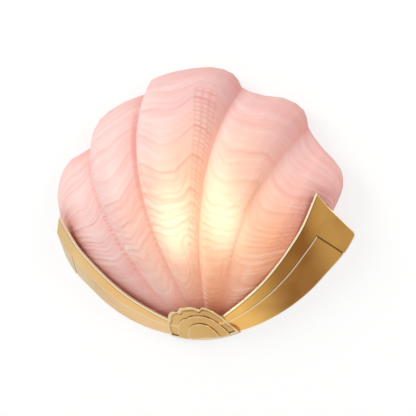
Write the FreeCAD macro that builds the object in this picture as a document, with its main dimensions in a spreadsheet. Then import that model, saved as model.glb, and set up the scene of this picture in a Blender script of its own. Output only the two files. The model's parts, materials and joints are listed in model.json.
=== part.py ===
import FreeCAD, Part
import Sketcher
import math, os, re

# Wall light: a seven-lobed frosted glass shell standing in a brass cradle of two arms
# joined by a stepped medallion. Millimetres, +Z up, the wall is the plane Y = 0 and the
# light faces -Y. The origin is the middle of the two wall holes.
# In the tables x is measured from the middle, "rise" from the lowest point of the brass
# and "depth" out from the wall.

doc = FreeCAD.newDocument("shell_wall_light")
sheet = doc.addObject("Spreadsheet::Sheet", "sizes")

SIZES = [
    ("half_width", 155, "middle of the cradle to the outer corner of an arm"),
    ("arm_rise", 124.8, "lowest point of the brass to the tip of an arm"),
    ("lip_depth_tip", 54.2, "wall to the front lip at the tip of an arm"),
    ("lip_depth_middle", 30, "wall to the front lip beside the medallion"),
    ("brass_thickness", 2.6, "wall of the arms"),
    ("border_step", 1.2, "how far the panel of an arm lies below its border"),
    ("border_share", 0.4, "border's share of the width of an arm"),
    ("medallion_half_width", 36, "middle to the end of the medallion"),
    ("medallion_height", 29.3, "lowest to highest point of the medallion"),
    ("medallion_thickness", 4, "bottom plate of the medallion"),
    ("medallion_step", 1.8, "each of the two plates on it"),
    ("shade_height", 272, "lowest point of the brass to the top of the glass"),
    ("shade_depth", 70, "how far the grooves of the shell bow forward"),
    ("lobe_depth", 13, "how far a lobe stands above its grooves"),
    ("glass_thickness", 4, "wall of the glass"),
    ("rim_gap", 14, "wall to the top rim of the glass"),
    ("foot_depth", 9.5, "wall to the lower edge of the glass at the middle"),
    ("foot_depth_gain", 13, "more than that, at the tips"),
    ("seat_clearance", 1.5, "gap between the glass and the brass"),
    ("pad_gap", 0.3, "rubber pads to the glass"),
    ("mount_height", 120, "lowest point of the brass to the wall holes"),
    ("plate_width", 100, "wall plate"),
    ("plate_height", 150, "wall plate"),
    ("plate_thickness", 1.6, "wall plate"),
    ("plate_corner", 14, "corner radius of the wall plate"),
    ("wall_hole_spacing", 60, "between the two wall holes"),
    ("wall_hole_radius", 2.6, "wall holes"),
    ("cable_hole_radius", 9, "hole for the grommet"),
    ("cable_hole_rise", 38, "cable hole above the wall holes"),
    ("cable_radius", 4.5, "bore of the grommet"),
    ("grommet_lip", 2.5, "flange of the grommet, wide and high"),
    ("strap_width", 66, "strap that carries the cradle"),
    ("strap_thickness", 2, "strap that carries the cradle"),
    ("strap_gap", 1.5, "top of the strap to the shelf of the lampholder bracket"),
    ("strap_foot", 12, "foot of the strap above the lowest point"),
    ("lug_thickness", 2.5, "lug of each arm on the strap"),
    ("screw_radius", 2, "small machine screws"),
    ("screw_play", 0.15, "radial play of a screw in its hole"),
    ("screw_head_radius", 3.8, "pan head"),
    ("screw_head_height", 2.4, "pan head"),
    ("bracket_width", 26, "lampholder bracket"),
    ("bracket_thickness", 2, "lampholder bracket"),
    ("bracket_leg", 26, "leg of the bracket on the wall plate"),
    ("seat_rise", 62, "underside of the bracket's shelf above the lowest point"),
    ("lamp_depth", 36, "wall to the axis of the bulb"),
    ("nipple_radius", 5, "threaded tube under the lampholder"),
    ("nipple_bore", 3.5, "threaded tube under the lampholder"),
    ("nut_radius", 8, "nut of the threaded tube"),
    ("nut_height", 4, "nut of the threaded tube"),
    ("holder_radius", 12.5, "lampholder"),
    ("holder_height", 27, "lampholder"),
    ("holder_floor", 6, "lampholder"),
    ("shell_wall", 0.5, "threaded contact shell"),
    ("shell_height", 18, "threaded contact shell"),
    ("cap_radius", 6.9, "screw cap of the bulb"),
    ("cap_play", 0.06, "radial play of the cap in its shell"),
    ("cap_length", 19, "screw cap of the bulb"),
    ("globe_radius", 22.5, "bulb"),
    ("bulb_length", 74, "tip contact to crown of the bulb"),
    ("block_length", 34, "terminal block"),
    ("block_width", 16, "terminal block"),
    ("block_height", 13, "terminal block"),
    ("block_gap", 4, "foot of the stays to the terminal block"),
    ("lead_radius", 1.1, "insulated leads"),
    ("stay_width", 12, "stays behind the top of the glass"),
    ("stay_thickness", 1.5, "stays behind the top of the glass"),
    ("stay_spread", 30, "middle to each stay"),
    ("stay_foot", 16, "length of each stay on the wall plate"),
    ("pad_radius", 5, "rubber pads"),
]
for row, (alias, value, meaning) in enumerate(SIZES, start=1):
    sheet.set("A%d" % row, meaning)
    sheet.set("B%d" % row, str(value))
    sheet.setAlias("B%d" % row, alias)
doc.recompute()
NAMES = sorted((alias for alias, _, _ in SIZES), key=len, reverse=True)


class Sizes:
    """Reads a driving size from the sheet by its name."""
    def __getattr__(self, name):
        return float(getattr(sheet, name))


S = Sizes()


def formula(text):
    """Writes a sheet expression from plain size names."""
    return re.sub(r"\b(" + "|".join(NAMES) + r")\b", r"sizes.\1", str(text))


def at(x, depth, rise):
    """Point from distance off the middle, depth from the wall and rise from the foot."""
    return FreeCAD.Vector(x, -depth, rise - S.mount_height)


# ---------------------------------------------------------------- outlines of the light
# Cross sections of an arm, from the middle to the tip: outer edge on the wall (x, rise),
# front lip (x, rise) and the depth of the lip as a share of the depth at the tip.
ARM = [
    ((0.0, 3.5), (0.0, 13.5), 0.31),
    ((18.0, 4.3), (15.4, 14.6), 0.40),
    ((36.0, 6.3), (29.8, 19.6), 0.554),
    ((60.0, 13.3), (50.0, 31.3), 0.63),
    ((85.0, 25.0), (71.0, 46.0), 0.705),
    ((107.0, 39.8), (89.5, 62.8), 0.78),
    ((124.5, 55.8), (105.0, 79.6), 0.85),
    ((143.5, 74.7), (118.8, 97.0), 0.925),
    ((155.0, 91.7), (134.3, 124.8), 1.0),
]
PANEL_SHARE = 7 / 8.0    # the panel ends this far along an arm; beyond it the border is full
STEP_DEPTH = 0.79        # depth of the step line as a share of the lip's depth

# Upper rim of the glass from the left tip over the top to the right tip: (x, rise).
RIM = [
    (-146.5, 108), (-147.5, 122), (-150.5, 138), (-152.5, 155), (-150, 170), (-145, 181),
    (-137, 190.5), (-127, 197), (-118, 203), (-116.5, 212), (-113, 221), (-106, 230.5),
    (-96, 238), (-79, 246), (-64, 250.5), (-52, 252.5), (-51.5, 261), (-47.5, 266.5),
    (-38, 269), (-20, 271.5), (0, 272), (17, 271), (31, 267), (41, 261), (46.5, 254),
    (49.5, 246.5), (58, 240.5), (74, 234.5), (93, 230), (106, 223), (114, 215), (116.5, 207),
    (117.5, 197.5), (123, 187.5), (132, 175.5), (143.5, 162), (150.5, 151), (152.5, 141),
    (150, 131), (147.5, 120), (146.5, 108),
]
RIM_GROOVES = [(-136, 191), (-118, 203), (-52, 252.5), (49.5, 246.5), (117.5, 197.5),
               (136, 171)]
GROOVE_SHARE = [-0.46, -0.16, -0.027, 0.027, 0.16, 0.46]  # place along an arm, left is minus
GROOVE_BOW = [2.0, 0.0, 3.0, 3.0, 0.0, 2.0]
DEPTH_SHARE = [(0.0, 1.0), (0.027, 0.985), (0.16, 0.80), (0.30, 0.68), (0.46, 0.56), (0.60, 0.38),
               (0.75, 0.20), (0.90, 0.06)]
LOBE_SHARE = [0.45, 0.6, 1.0, 1.0, 1.0, 0.6, 0.45]
TIP_RISE = 108.0
TOP_RISE = 272.0
FOOT_SHARE = 0.90        # the lower edge of the glass ends this far along an arm


def mix(a, b, t):
    return a + (b - a) * t


def spline(values, t):
    """Smooth curve through equally spaced values, t from 0 to 1."""
    count = len(values) - 1
    place = min(max(t, 0.0), 1.0) * count
    i = min(int(place), count - 1)
    f = place - i
    p1, p2 = values[i], values[i + 1]
    p0 = values[i - 1] if i else 2 * p1 - p2
    p3 = values[i + 2] if i + 2 <= count else 2 * p2 - p1
    return p1 + 0.5 * f * (p2 - p0 + f * (2 * p0 - 5 * p1 + 4 * p2 - p3
                                          + f * (3 * (p1 - p2) + p3 - p0)))


def arm_section(t):
    """Outer edge, unit direction to the lip, width and lip depth at t along an arm."""
    kx, kz = S.half_width / ARM[-1][0][0], S.arm_rise / ARM[-1][1][1]
    ox = spline([s[0][0] for s in ARM], t) * kx
    oz = spline([s[0][1] for s in ARM], t) * kz
    lx = spline([s[1][0] for s in ARM], t) * kx
    lz = spline([s[1][1] for s in ARM], t) * kz
    share = spline([s[2] for s in ARM], t)
    low = S.lip_depth_middle / S.lip_depth_tip
    share = 1.0 - (1.0 - share) * (1.0 - low) / (1.0 - 0.554)
    width = math.hypot(lx - ox, lz - oz)
    return (ox, oz), ((lx - ox) / width, (lz - oz) / width), width, S.lip_depth_tip * share


def outer_line(width, lip):
    """Outer face of an arm in its section: wall edge, step line, lip (inward, depth)."""
    step = (1.0 - S.border_share) * width
    return [(0.0, 0.0), (step, STEP_DEPTH * lip), (width, lip)]


def shifted(line, gap):
    """The same line moved to the inside of the arm by a gap, square to each stretch."""
    (a0, d0), (a1, d1), (a2, d2) = line
    n1 = math.hypot(a1 - a0, d1 - d0)
    n2 = math.hypot(a2 - a1, d2 - d1)
    u1 = ((d1 - d0) / n1, -(a1 - a0) / n1)
    u2 = ((d2 - d1) / n2, -(a2 - a1) / n2)
    k = gap / (1.0 + u1[0] * u2[0] + u1[1] * u2[1])
    mid = (a1 + k * (u1[0] + u2[0]), d1 + k * (u1[1] + u2[1]))
    foot_a = a0 + gap * u1[0] + gap * (a1 - a0) / (d1 - d0) * -u1[1]
    return [(foot_a, 0.0), mid, (a2 + gap * u2[0], d2 + gap * u2[1])]


def section_point(side, t, inward, depth):
    (ox, oz), (dx, dz), _, _ = arm_section(t)
    return at(side * (ox + dx * inward), depth, oz + dz * inward)


# ------------------------------------------------------------------------- brass cradle
def loft(side, places, profile):
    """Solid through one closed profile at each place along an arm."""
    wires = []
    for t in places:
        _, _, width, lip = arm_section(t)
        points = [section_point(side, t, a, d) for a, d in profile(width, lip)]
        wires.append(Part.makePolygon(points + points[:1]))
    return Part.makeLoft(wires, True, False)


def border_profile(width, lip):
    """Full-thickness arm section with a bevelled lip."""
    outer = outer_line(width, lip)
    inner = shifted(outer, S.brass_thickness)
    bevel = 0.45 * S.brass_thickness
    return outer[:2] + [outer[2], (outer[2][0] + bevel, outer[2][1] - 0.3 * bevel)] + inner[::-1]


def panel_profile(width, lip):
    """Arm section with the panel lying below the border."""
    outer = outer_line(width, lip)
    panel = shifted(outer, S.border_step)
    step = (panel[1][0] - 0.5 * S.border_step, panel[1][1] - 0.5 * S.border_step)
    inner = shifted(outer, S.brass_thickness)
    bevel = 0.45 * S.brass_thickness
    return [panel[0], step, outer[1], outer[2],
            (outer[2][0] + bevel, outer[2][1] - 0.3 * bevel)] + inner[::-1]


def inner_room(side, reach, height):
    """Everything on the glass side of an arm's wall, from mid-wall inwards."""
    def profile(width, lip):
        mid = shifted(outer_line(width, lip), 0.6 * S.brass_thickness)
        top = min(height, 0.7 * lip)
        a = mix(mid[0][0], mid[1][0], top / mid[1][1])
        return [mid[0], (a, top), (a + reach, top), (mid[0][0] + reach, 0.0)]
    return loft(side, [i / 16.0 for i in range(17)], profile)


def places(first, last, count):
    return [mix(first, last, i / float(count)) for i in range(count + 1)]


def lug_depth():
    return S.plate_thickness + S.strap_thickness


def lug_holes(side):
    """Middles of the two screw holes of an arm's lug: (x, rise)."""
    return [(side * 9.5, 27.0), (side * 24.5, 33.0)]


def arm(side):
    """One arm of the cradle with its lug."""
    last = len(ARM) - 1
    cut = PANEL_SHARE
    start = 2.0 / last
    body = loft(side, places(0.0, start, 4), border_profile)
    body = body.fuse(loft(side, places(start, cut, 14), panel_profile))
    body = body.fuse(loft(side, places(cut, 1.0, 4), border_profile))
    outline = [(0.4, 8), (34, 8), (46, 22), (33, 40), (17, 38), (0.4, 33)]
    low, high = lug_depth(), lug_depth() + S.lug_thickness
    points = [at(side * x, low, z) for x, z in outline]
    slab = Part.Face(Part.makePolygon(points + points[:1])).extrude(
        FreeCAD.Vector(0, low - high, 0))
    lug = slab.common(inner_room(side, 60.0, 0.5 * S.lip_depth_middle))
    body = body.fuse(lug)
    for x, rise in lug_holes(side):
        body = body.cut(Part.makeCylinder(S.screw_radius + S.screw_play, 20,
                                          at(x, 0, rise), FreeCAD.Vector(0, -1, 0)))
    far = 3.0 * S.half_width
    half = Part.makeBox(far, far, 2 * far, FreeCAD.Vector(0.1 if side > 0 else -far - 0.1,
                                                          0.3 * S.half_width - far, -far))
    return body.common(half).removeSplitter()


# ------------------------------------------------------------------------ glass shell
def table(pairs, t):
    """Straight-line reading of a table of (place, value)."""
    for (t0, v0), (t1, v1) in zip(pairs, pairs[1:]):
        if t <= t1:
            return mix(v0, v1, (t - t0) / (t1 - t0))
    return pairs[-1][1]


def rim_points():
    """The rim outline at the size in the sheet, with the length run up to each point."""
    kx, kz = S.half_width / ARM[-1][0][0], S.arm_rise / ARM[-1][1][1]
    low = TIP_RISE * kz
    kt = (S.shade_height - low) / (TOP_RISE - TIP_RISE)
    points = [(x * kx, low + (z - TIP_RISE) * kt) for x, z in RIM]
    run = [0.0]
    for (x0, z0), (x1, z1) in zip(points, points[1:]):
        run.append(run[-1] + math.hypot(x1 - x0, z1 - z0))
    return points, run


def rim_run(points, run, target):
    """Length along the rim to the outline point nearest to a groove's table entry."""
    kx = S.half_width / ARM[-1][0][0]
    order = sorted(range(len(RIM)), key=lambda i: math.hypot(RIM[i][0] - target[0],
                                                             RIM[i][1] - target[1]))
    i, j = sorted(order[:2])
    d0 = math.hypot(RIM[i][0] - target[0], RIM[i][1] - target[1])
    d1 = math.hypot(RIM[j][0] - target[0], RIM[j][1] - target[1])
    return mix(run[i], run[j], d0 / (d0 + d1 + 1e-9))


class Shell:
    """Outer face of the glass: t runs along the lower edge, s from there to the rim."""

    def __init__(self):
        self.points, self.run = rim_points()
        marks = [rim_run(self.points, self.run, g) for g in RIM_GROOVES]
        self.feet = [-FOOT_SHARE] + GROOVE_SHARE + [FOOT_SHARE]
        self.marks = [0.0] + marks + [self.run[-1]]
        self.cells = [arm_section(i / 80.0) for i in range(81)]
        self.share = self.clear_shares()

    def rim_at(self, t):
        """Rim point met by the line from place t."""
        for i in range(len(self.feet) - 1):
            if t <= self.feet[i + 1] or i == len(self.feet) - 2:
                f = (t - self.feet[i]) / (self.feet[i + 1] - self.feet[i])
                reach = mix(self.marks[i], self.marks[i + 1], f)
                break
        for k in range(len(self.run) - 1):
            if reach <= self.run[k + 1] or k == len(self.run) - 2:
                f = (reach - self.run[k]) / (self.run[k + 1] - self.run[k])
                (x0, z0), (x1, z1) = self.points[k], self.points[k + 1]
                return mix(x0, x1, f), mix(z0, z1, f)

    def foot_at(self, t):
        """Point of the hidden lower edge: (x, rise, depth)."""
        side = 1.0 if t >= 0 else -1.0
        (ox, oz), (dx, dz), width, lip = arm_section(abs(t))
        line = shifted(outer_line(width, lip), S.brass_thickness + S.seat_clearance)
        depth = S.foot_depth + S.foot_depth_gain * abs(t)
        depth = min(depth, 0.9 * line[1][1])
        a = mix(line[0][0], line[1][0], depth / line[1][1])
        return side * (ox + dx * a), oz + dz * a, depth

    def lobe(self, t):
        """Place across the lobe (-1 to 1) and the lobe's share of the full height."""
        for i in range(len(self.feet) - 1):
            if t <= self.feet[i + 1] or i == len(self.feet) - 2:
                f = (t - self.feet[i]) / (self.feet[i + 1] - self.feet[i])
                return 2.0 * f - 1.0, LOBE_SHARE[i]

    def bow(self, t):
        """Sideways bow of the line from place t, between those of the grooves."""
        knots = list(zip(self.feet, [0.0] + GROOVE_BOW + [0.0]))
        return table(knots, t)

    def plan(self, t, s):
        """Point of the line from place t seen from the front: (x, rise)."""
        fx, fz, _ = self.foot_at(t)
        rx, rz = self.rim_at(t)
        length = math.hypot(rx - fx, rz - fz)
        out = 1.0 if t >= 0 else -1.0
        b = self.bow(t) * 4.0 * s * (1.0 - s)
        return (mix(fx, rx, s) + b * out * (rz - fz) / length,
                mix(fz, rz, s) - b * out * (rx - fx) / length)

    def rim_depth(self, t):
        """The rim stands further off the wall towards the tips."""
        return S.rim_gap + 8.0 * min(1.0, abs(t) / 0.46) ** 2

    def base_depth(self, t, s):
        """Depth without the forward bow of the shell."""
        _, _, foot = self.foot_at(t)
        u, share = self.lobe(t)
        crown = max(0.0, 1.0 - u * u) ** 0.8 * s ** 0.7 * (1.0 - s) ** 0.4 / 0.475
        return mix(foot, self.rim_depth(t), s) + S.lobe_depth * share * crown

    def bow_share(self, s):
        return s ** 1.1 * (1.0 - s) / 0.2363

    def brass_limit(self, x, rise):
        """Depth of the inside of the brass in front of a point, less the clearance."""
        x, best, found = abs(x), 1e9, None
        for i, (edge, d, width, lip) in enumerate(self.cells):
            a = (x - edge[0]) * d[0] + (rise - edge[1]) * d[1]
            off = abs((x - edge[0]) * d[1] - (rise - edge[1]) * d[0])
            if off < best:
                best, found = off, (i, a, width, lip)
        i, a, width, lip = found
        line = shifted(outer_line(width, lip), S.brass_thickness + 0.8 * S.seat_clearance)
        if a > line[2][0] + 1.5 or (i == 80 and best > 1.0):
            return 1e9
        if a > line[1][0]:
            return mix(line[1][1], line[2][1], min(1.0, (a - line[1][0]) / (line[2][0] - line[1][0])))
        return mix(0.0, line[1][1], (a - line[0][0]) / (line[1][0] - line[0][0]))

    def clear_shares(self):
        """Bow of each line in millimetres, held back where it would meet the brass."""
        steps = 45
        raw = []
        for i in range(steps + 1):
            t = FOOT_SHARE * i / steps
            value = S.shade_depth * table(DEPTH_SHARE, t)
            for side in (-1.0, 1.0):
                for k in range(1, 32):
                    s = (k / 32.0) ** 1.6
                    x, rise = self.plan(side * t, s)
                    limit = self.brass_limit(x, rise)
                    if limit < 1e8:
                        room = limit - self.base_depth(side * t, s)
                        value = min(value, max(room, 0.0) / self.bow_share(s))
            raw.append(value)
        held = [min(raw[max(0, i - 1):i + 2]) for i in range(steps + 1)]
        return [sum(held[max(0, i - 1):i + 2]) / len(held[max(0, i - 1):i + 2])
                for i in range(steps + 1)]

    def point(self, t, s):
        x, rise = self.plan(t, s)
        place = abs(t) / FOOT_SHARE * (len(self.share) - 1)
        i = min(int(place), len(self.share) - 2)
        bow = mix(self.share[i], self.share[i + 1], place - i)
        return at(x, self.base_depth(t, s) + bow * self.bow_share(s), rise)


def across_places(shell):
    """Places across the shell, crowded at the grooves."""
    result = []
    counts = [14, 8, 9, 12, 9, 8, 14]
    for i, count in enumerate(counts):
        for k in range(count):
            result.append(mix(shell.feet[i], shell.feet[i + 1], k / float(count)))
    return result + [shell.feet[-1]]


def skin(rows):
    surface = Part.BSplineSurface()
    surface.interpolate(rows)
    return surface


def closed_solid(front, back):
    """Solid between two faces made over the same grid."""
    faces = [front, back]
    for a, b in zip(front.Edges, back.Edges):
        faces.append(Part.makeRuledSurface(a, b))
    shell = Part.makeShell(faces)
    sewn = Part.Shape(shell)
    sewn.sewShape()
    solid = Part.makeSolid(sewn.Shells[0] if sewn.Shells else shell)
    return solid


def glass():
    shell = Shell()
    across = across_places(shell)
    along = [(k / 18.0) ** 1.25 if k < 12 else mix((11 / 18.0) ** 1.25, 1.0, (k - 11) / 7.0)
             for k in range(19)]
    front, back = [], []
    eps = 1e-3
    for t in across:
        front.append([shell.point(t, s) for s in along])
        inner = []
        for s in along:
            t0, t1 = max(-FOOT_SHARE, t - eps * 5), min(FOOT_SHARE, t + eps * 5)
            s0, s1 = max(0.0, s - eps * 5), min(1.0, s + eps * 5)
            du = shell.point(t1, s) - shell.point(t0, s)
            dv = shell.point(t, s1) - shell.point(t, s0)
            normal = du.cross(dv)
            normal.normalize()
            if normal.y > 0:
                normal = normal.negative()
            inner.append(shell.point(t, s) - normal * S.glass_thickness)
        back.append(inner)
    return closed_solid(skin(front).toShape(), skin(back).toShape())


# -------------------------------------------------------------------------- medallion
def scallops(half, foot, top, dips):
    """Oval plate seen from the front with a scalloped upper edge: list of (x, rise)."""
    points = []
    count = 72
    for k in range(count + 1):
        u = -1.0 + 2.0 * k / count
        arch = foot + (top - foot) * (1.0 - abs(u) ** 2.6) ** 0.75
        wave = 0.0
        for middle, spread, depth in dips:
            wave += depth * math.exp(-((u - middle) / spread) ** 2)
        points.append((half * u, arch - wave * (top - foot)))
    return points


def medallion_sheet(low, high):
    """Layer over the middle of both arms, between two heights above their outer face."""
    wires = []
    for k in range(17):
        place = mix(-1.0, 1.0, k / 16.0)
        side = 1.0 if place >= 0 else -1.0
        (ox, oz), (dx, dz), _, _ = arm_section(abs(place) * 0.29)
        ends = (S.lip_depth_middle / 30.0) * (S.medallion_height / 29.3)
        slope = mix(1.28, 2.0 * ends, min(1.0, abs(place) * 1.05) ** 2)
        norm = math.hypot(1.0, slope)
        ux, uz = 1.0 / norm, slope / norm
        line = []
        for reach, lift in ((-2.0, low), (62.0, low), (62.0, high), (-2.0, high)):
            a, d = reach * ux - lift * uz, reach * uz + lift * ux
            line.append(at(side * (ox + dx * a), d, oz + dz * a))
        wires.append(Part.makePolygon(line + line[:1]))
    return Part.makeLoft(wires, True, False)


def medallion_layer(outline, low, high):
    """Part of a layer inside an outline seen from the front, in front of the wall."""
    points = [at(x, 0.05, z) for x, z in outline]
    face = Part.Face(Part.makePolygon(points + points[:1]))
    prism = face.extrude(FreeCAD.Vector(0, -80, 0))
    return medallion_sheet(low, high).common(prism)


def medallion():
    """Three stacked plates: scalloped bottom plate, middle oval and inner oval."""
    half, height = S.medallion_half_width, S.medallion_height
    side_foot = 5.6 / 29.3 * height
    first = scallops(half, side_foot, height,
                     [(-0.62, 0.07, 0.10), (-0.15, 0.06, 0.13), (0.62, 0.07, 0.10)])
    bottom = [(half * u, side_foot * (u * u) - 0.2) for u in places(1.0, -1.0, 40)]
    second = scallops(0.74 * half, 0.11 * height, 0.70 * height, [(-0.35, 0.08, 0.05)])
    third = scallops(0.45 * half, 0.06 * height, 0.46 * height, [])
    t0, t1 = S.medallion_thickness, S.medallion_step
    layers = []
    for name, outline, low, high in (
            ("medallion_plate", first + bottom, 0.0, t0),
            ("medallion_mid_step", second + [(0.60 * half, 1.6), (0, 0.6), (-0.60 * half, 1.6)],
             t0 + 0.02, t0 + t1),
            ("medallion_inner_step", third + [(0.36 * half, 0.8), (0, 0.4), (-0.36 * half, 0.8)],
             t0 + t1 + 0.02, t0 + 2 * t1)):
        layers.append((name, medallion_layer(outline, low, high)))
    return layers


def keep_lump(shape):
    """The largest solid of a shape."""
    return max(shape.Solids, key=lambda solid: solid.Volume)


# ------------------------------------------------------------------ document objects
nodes = []


def keep(obj, name):
    """Names a finished sub-part."""
    obj.Label = name
    nodes.append(obj)
    return obj


def shaped(name, shape):
    """Sub-part whose form comes from the section tables and the sheet."""
    obj = doc.addObject("Part::Feature", name)
    obj.Shape = shape
    obj.Placement = FreeCAD.Placement()
    return keep(obj, name)


def drive(obj, **links):
    """Binds properties to the sheet; double underscores stand for dots."""
    for key, text in links.items():
        obj.setExpression(key.replace("__", "."), formula(text))
    return obj


def place(obj, x, depth, rise, outward=False):
    """Puts a primitive at a point; outward turns its length away from the wall."""
    if outward:
        obj.Placement = FreeCAD.Placement(
            FreeCAD.Vector(), FreeCAD.Rotation(FreeCAD.Vector(1, 0, 0), 90))
    return drive(obj, Placement__Base__x=x, Placement__Base__y="-(%s)" % depth,
                 Placement__Base__z="(%s) - mount_height" % rise)


def rod(label, radius, height, x, depth, rise, outward=False):
    obj = doc.addObject("Part::Cylinder", label)
    drive(obj, Radius=radius, Height=height)
    return place(obj, x, depth, rise, outward)


def block(label, length, width, height, x, depth, rise):
    """Box with its far left bottom corner at the point; width runs towards the wall."""
    obj = doc.addObject("Part::Box", label)
    drive(obj, Length=length, Width=width, Height=height)
    return place(obj, x, depth, rise)


def cut(label, base, *tools):
    for i, tool in enumerate(tools):
        obj = doc.addObject("Part::Cut", "%s_cut%d" % (label, i))
        obj.Base, obj.Tool = base, tool
        base = obj
    return base


def fuse(label, *shapes):
    obj = doc.addObject("Part::MultiFuse", label + "_fuse")
    obj.Shapes = list(shapes)
    return obj


def group(label, *shapes):
    """Identical pieces that share one node as separate solids."""
    obj = doc.addObject("Part::Compound", label + "_group")
    obj.Links = list(shapes)
    return obj


def sketch_on(body, role):
    plane = [f for f in body.Origin.OriginFeatures if f.Role == role][0]
    sketch = body.newObject("Sketcher::SketchObject", body.Name + "_sketch")
    sketch.AttachmentSupport = (plane, "")
    sketch.MapMode = "FlatFace"
    return sketch


def closed_outline(sketch, points):
    """Closed chain of straight lines through the points of a sketch."""
    ends = [FreeCAD.Vector(x, y, 0) for x, y in points]
    for a, b in zip(ends, ends[1:] + ends[:1]):
        sketch.addGeometry(Part.LineSegment(a, b), False)


def flat_plate(name, outline, thickness):
    """Body padded out from the wall side; the outline is (x, height) in the sketch."""
    body = doc.addObject("PartDesign::Body", name)
    sketch = sketch_on(body, "XZ_Plane")
    closed_outline(sketch, outline)
    pad = body.newObject("PartDesign::Pad", name + "_pad")
    pad.Profile = sketch
    drive(pad, Length=thickness)
    doc.recompute()
    if pad.Shape.BoundBox.YMax > 0.01:
        pad.Reversed = True
    return body, pad


def round_hole(body, tag, x, height, radius):
    """Through hole in a flat plate, bound to the sheet by its centre and radius."""
    sketch = body.newObject("Sketcher::SketchObject", "%s_%s" % (body.Name, tag))
    plane = [f for f in body.Origin.OriginFeatures if f.Role == "XZ_Plane"][0]
    sketch.AttachmentSupport = (plane, "")
    sketch.MapMode = "FlatFace"
    sketch.addGeometry(Part.Circle(FreeCAD.Vector(20, 20, 0), FreeCAD.Vector(0, 0, 1), 3), False)
    sketch.addConstraint(Sketcher.Constraint("Radius", 0, 3.0))
    sketch.addConstraint(Sketcher.Constraint("DistanceX", -1, 1, 0, 3, 20.0))
    sketch.addConstraint(Sketcher.Constraint("DistanceY", -1, 1, 0, 3, 20.0))
    for i, text in enumerate((radius, x, height)):
        sketch.setExpression("Constraints[%d]" % i, formula(text))
    pocket = body.newObject("PartDesign::Pocket", "%s_%s_pocket" % (body.Name, tag))
    pocket.Profile = sketch
    pocket.Type = "ThroughAll"
    pocket.Midplane = True
    return pocket


STRAP_HOLE = "((seat_rise - strap_gap + mount_height - plate_height / 2) / 2)"
STACK = "(plate_thickness + strap_thickness)"


def wall_plate():
    """Steel plate on the wall with its holes."""
    w, h, c = S.plate_width / 2, S.plate_height / 2, S.plate_corner
    outline = []
    for sx, sz, start in ((1, 1, 0), (-1, 1, 90), (-1, -1, 180), (1, -1, 270)):
        for k in range(7):
            a = math.radians(start + 15 * k)
            outline.append((sx * (w - c) + c * math.cos(a), sz * (h - c) + c * math.sin(a)))
    body, _ = flat_plate("wall_plate", outline, "plate_thickness")
    half = "plate_height / 2"
    hole = "screw_radius + screw_play"
    for tag, x, height, radius in (
            ("wall_left", "-wall_hole_spacing / 2", "0", "wall_hole_radius"),
            ("wall_right", "wall_hole_spacing / 2", "0", "wall_hole_radius"),
            ("cable", "0", "cable_hole_rise", "cable_hole_radius"),
            ("strap_left", "-strap_width * 0.38", STRAP_HOLE + " - mount_height", hole),
            ("strap_right", "strap_width * 0.38", STRAP_HOLE + " - mount_height", hole),
            ("bracket_low", "0", BRACKET_LOW + " - mount_height", hole),
            ("bracket_high", "0", BRACKET_HIGH + " - mount_height", hole),
            ("block", "-plate_width * 0.3", BLOCK_RISE + " - mount_height", hole),
            ("earth", "plate_width * 0.3", "cable_hole_rise", hole),
            ("stay_left", "-stay_spread", half + " - stay_foot / 2", hole),
            ("stay_right", "stay_spread", half + " - stay_foot / 2", hole)):
        round_hole(body, tag, x, height, radius)
    return keep(body, "wall_plate")


BRACKET_LOW = "(seat_rise + bracket_thickness + 7)"
BRACKET_HIGH = "(seat_rise + bracket_thickness + bracket_leg - 6)"


def cradle_strap():
    """Steel strap from the wall plate down to the lugs of the arms."""
    w = S.strap_width / 2
    top = S.seat_rise - S.strap_gap - S.mount_height
    foot = S.strap_foot - S.mount_height
    low = foot + 4.0
    outline = [(-w, top), (-w, low + 5), (-w + 9, foot), (w - 9, foot), (w, low + 5), (w, top)]
    body, _ = flat_plate("cradle_strap", outline, "strap_thickness")
    hole = "screw_radius + screw_play"
    spots = [("plate_left", "-strap_width * 0.38", STRAP_HOLE + " - mount_height"),
             ("plate_right", "strap_width * 0.38", STRAP_HOLE + " - mount_height")]
    for i, (x, rise) in enumerate(lug_holes(-1) + lug_holes(1)):
        spots.append(("lug%d" % i, str(x), "%s - mount_height" % rise))
    for tag, x, height in spots:
        round_hole(body, tag, x, height, hole)
    drive(body, Placement__Base__y="-plate_thickness")
    return keep(body, "cradle_strap")


def pan_screw(label, x, seat, rise, length, nut=None):
    """Pan-head screw whose head stands on a face at depth seat, shank to the wall."""
    shank = rod(label + "_shank", "screw_radius", "%s + 0.2" % length, x,
                "(%s) - (%s)" % (seat, length), rise, True)
    head = rod(label + "_head", "screw_head_radius", "screw_head_height", x, seat, rise, True)
    slot = block(label + "_slot", "screw_head_radius * 3", "1.4", "0.8",
                 "%s - screw_head_radius * 1.5" % x, "(%s) + screw_head_height + 0.2" % seat,
                 "(%s) - 0.4" % rise)
    return cut(label, fuse(label, shank, head), slot)


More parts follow.
